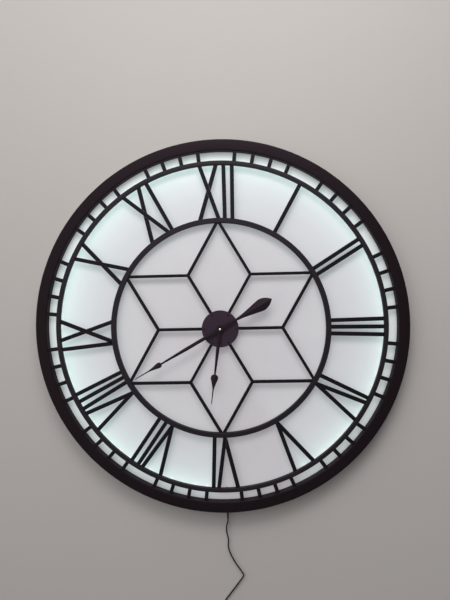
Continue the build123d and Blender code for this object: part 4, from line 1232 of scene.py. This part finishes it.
addScrews(coverScrewLook, finishes["zinc_steel"])
addScrews(hubScrewLook, handFinish)
dressNodes()
print("screws driven, nodes dressed")


# Plain stage: a wall behind the clock, and a floor below the lead, each seen from its front only

stageLook = {
    "wallColour": (0.500, 0.472, 0.455), "floorColour": (0.62, 0.60, 0.585),
    "roughness": 0.85, "gloss": 0.2, "toneScale": 1.5, "toneDetail": 2.0, "tone": (0.3, 0.7, 0.98, 1.0),
    "wallBehind": 1.5 * mm, "wallHalf": 4.0, "floorDrop": 0.05, "floorHalf": 5.0,
}


def stageFinish(name, colour, look):
    material, tree, shader = newMaterial(name)
    tone = remap(tree, noise(tree, objectPlace(tree), look["toneScale"], look["toneDetail"]), *look["tone"])
    wire(tree, mixColour(tree, tone, black, colour), shader.inputs["Base Color"])
    shader.inputs["Roughness"].default_value = look["roughness"]
    shader.inputs["Specular IOR Level"].default_value = look["gloss"]
    mix = tree.nodes.new("ShaderNodeMixShader")
    wire(tree, tree.nodes.new("ShaderNodeNewGeometry").outputs["Backfacing"], mix.inputs[0])
    wire(tree, shader.outputs[0], mix.inputs[1])
    wire(tree, tree.nodes.new("ShaderNodeBsdfTransparent").outputs[0], mix.inputs[2])    # clear from behind
    wire(tree, mix.outputs[0], tree.nodes["Material Output"].inputs["Surface"])
    return material


def stagePlane(name, corners, front, finish):
    plane = looseObject(name, corners, [(0, 1, 2, 3)])
    if plane.data.polygons[0].normal.dot(front) < 0:
        plane.data.flip_normals()
    plane.data.materials.append(finish)
    # seen by the camera only, so it neither lights the clock nor mirrors in it
    for flag in ("visible_diffuse", "visible_glossy", "visible_transmission", "visible_shadow"):
        setattr(plane, flag, False)
    return plane


def addStage(look):
    half, behind, far = look["wallHalf"], look["wallBehind"], look["floorHalf"]
    level = cadBox[0][2] - look["floorDrop"]
    wall = stagePlane("stageWall", [(-half, behind, level), (half, behind, level), (half, behind, half),
                                    (-half, behind, half)],
                      Vector((0.0, -1.0, 0.0)), stageFinish("wallPaint", look["wallColour"], look))
    floor = stagePlane("stageFloor", [(-far, -far, level), (far, -far, level), (far, far, level),
                                      (-far, far, level)],
                       Vector((0.0, 0.0, 1.0)), stageFinish("floorPaint", look["floorColour"], look))


addStage(stageLook)
print("stage set")


# Soft light: a broad key from the front, above and a little left, and a graded room

lampLook = {
    "key": {"place": (-0.9, -2.4, 2.0), "size": (2.8, 1.8), "power": 26.0, "colour": (1.0, 0.985, 0.97)},
    "ceiling": {"place": (0.15, -1.35, 1.5), "size": (1.2, 0.6), "power": 18.0, "colour": (1.0, 0.985, 0.97)},
    "side": {"place": (-1.75, -2.6, -0.15), "size": (1.6, 2.2), "power": 7.0, "colour": (1.0, 0.98, 0.96)},
    "back": {"place": (1.2, 2.6, 1.3), "size": (2.0, 1.6), "power": 90.0, "colour": (1.0, 1.0, 1.0)},
}
roomLook = {
    "bright": (0.80, 0.79, 0.80), "dark": (0.012, 0.011, 0.012), "backdropDark": (0.40, 0.39, 0.39),
    "brightWay": (-0.56, -0.25, 0.79), "grade": (-0.12, 0.70),
}


def addLamp(name, look):
    data = bpy.data.lights.new(name, "AREA")
    data.shape = "RECTANGLE"
    data.size, data.size_y = look["size"]
    data.energy = look["power"]
    data.color = look["colour"]
    lamp = addObject(name, data)
    lamp.location = look["place"]
    lamp.rotation_euler = (-lamp.location).to_track_quat("-Z", "Y").to_euler()    # aimed at the centre


def addRoom(look):
    world = bpy.data.worlds.new("softRoom")
    bpy.context.scene.world = world
    world.use_nodes = True
    tree = world.node_tree
    way = tree.nodes.new("ShaderNodeTexCoord").outputs["Generated"]
    height = vectorNode(tree, "DOT_PRODUCT", way, look["brightWay"])["Value"]
    rays = tree.nodes.new("ShaderNodeLightPath").outputs
    seen = mathNode(tree, "MAXIMUM", rays["Is Camera Ray"], rays["Is Glossy Ray"])
    seen = mathNode(tree, "MAXIMUM", seen, rays["Is Transmission Ray"])
    dark = mixColour(tree, seen, look["dark"], look["backdropDark"])    # pale to look at and in mirrors
    shade = mixColour(tree, remap(tree, height, *look["grade"]), dark, look["bright"])
    wire(tree, shade, tree.nodes["Background"].inputs["Color"])


for name, look in lampLook.items():
    addLamp(name + "Light", look)
addRoom(roomLook)
print("lights set")
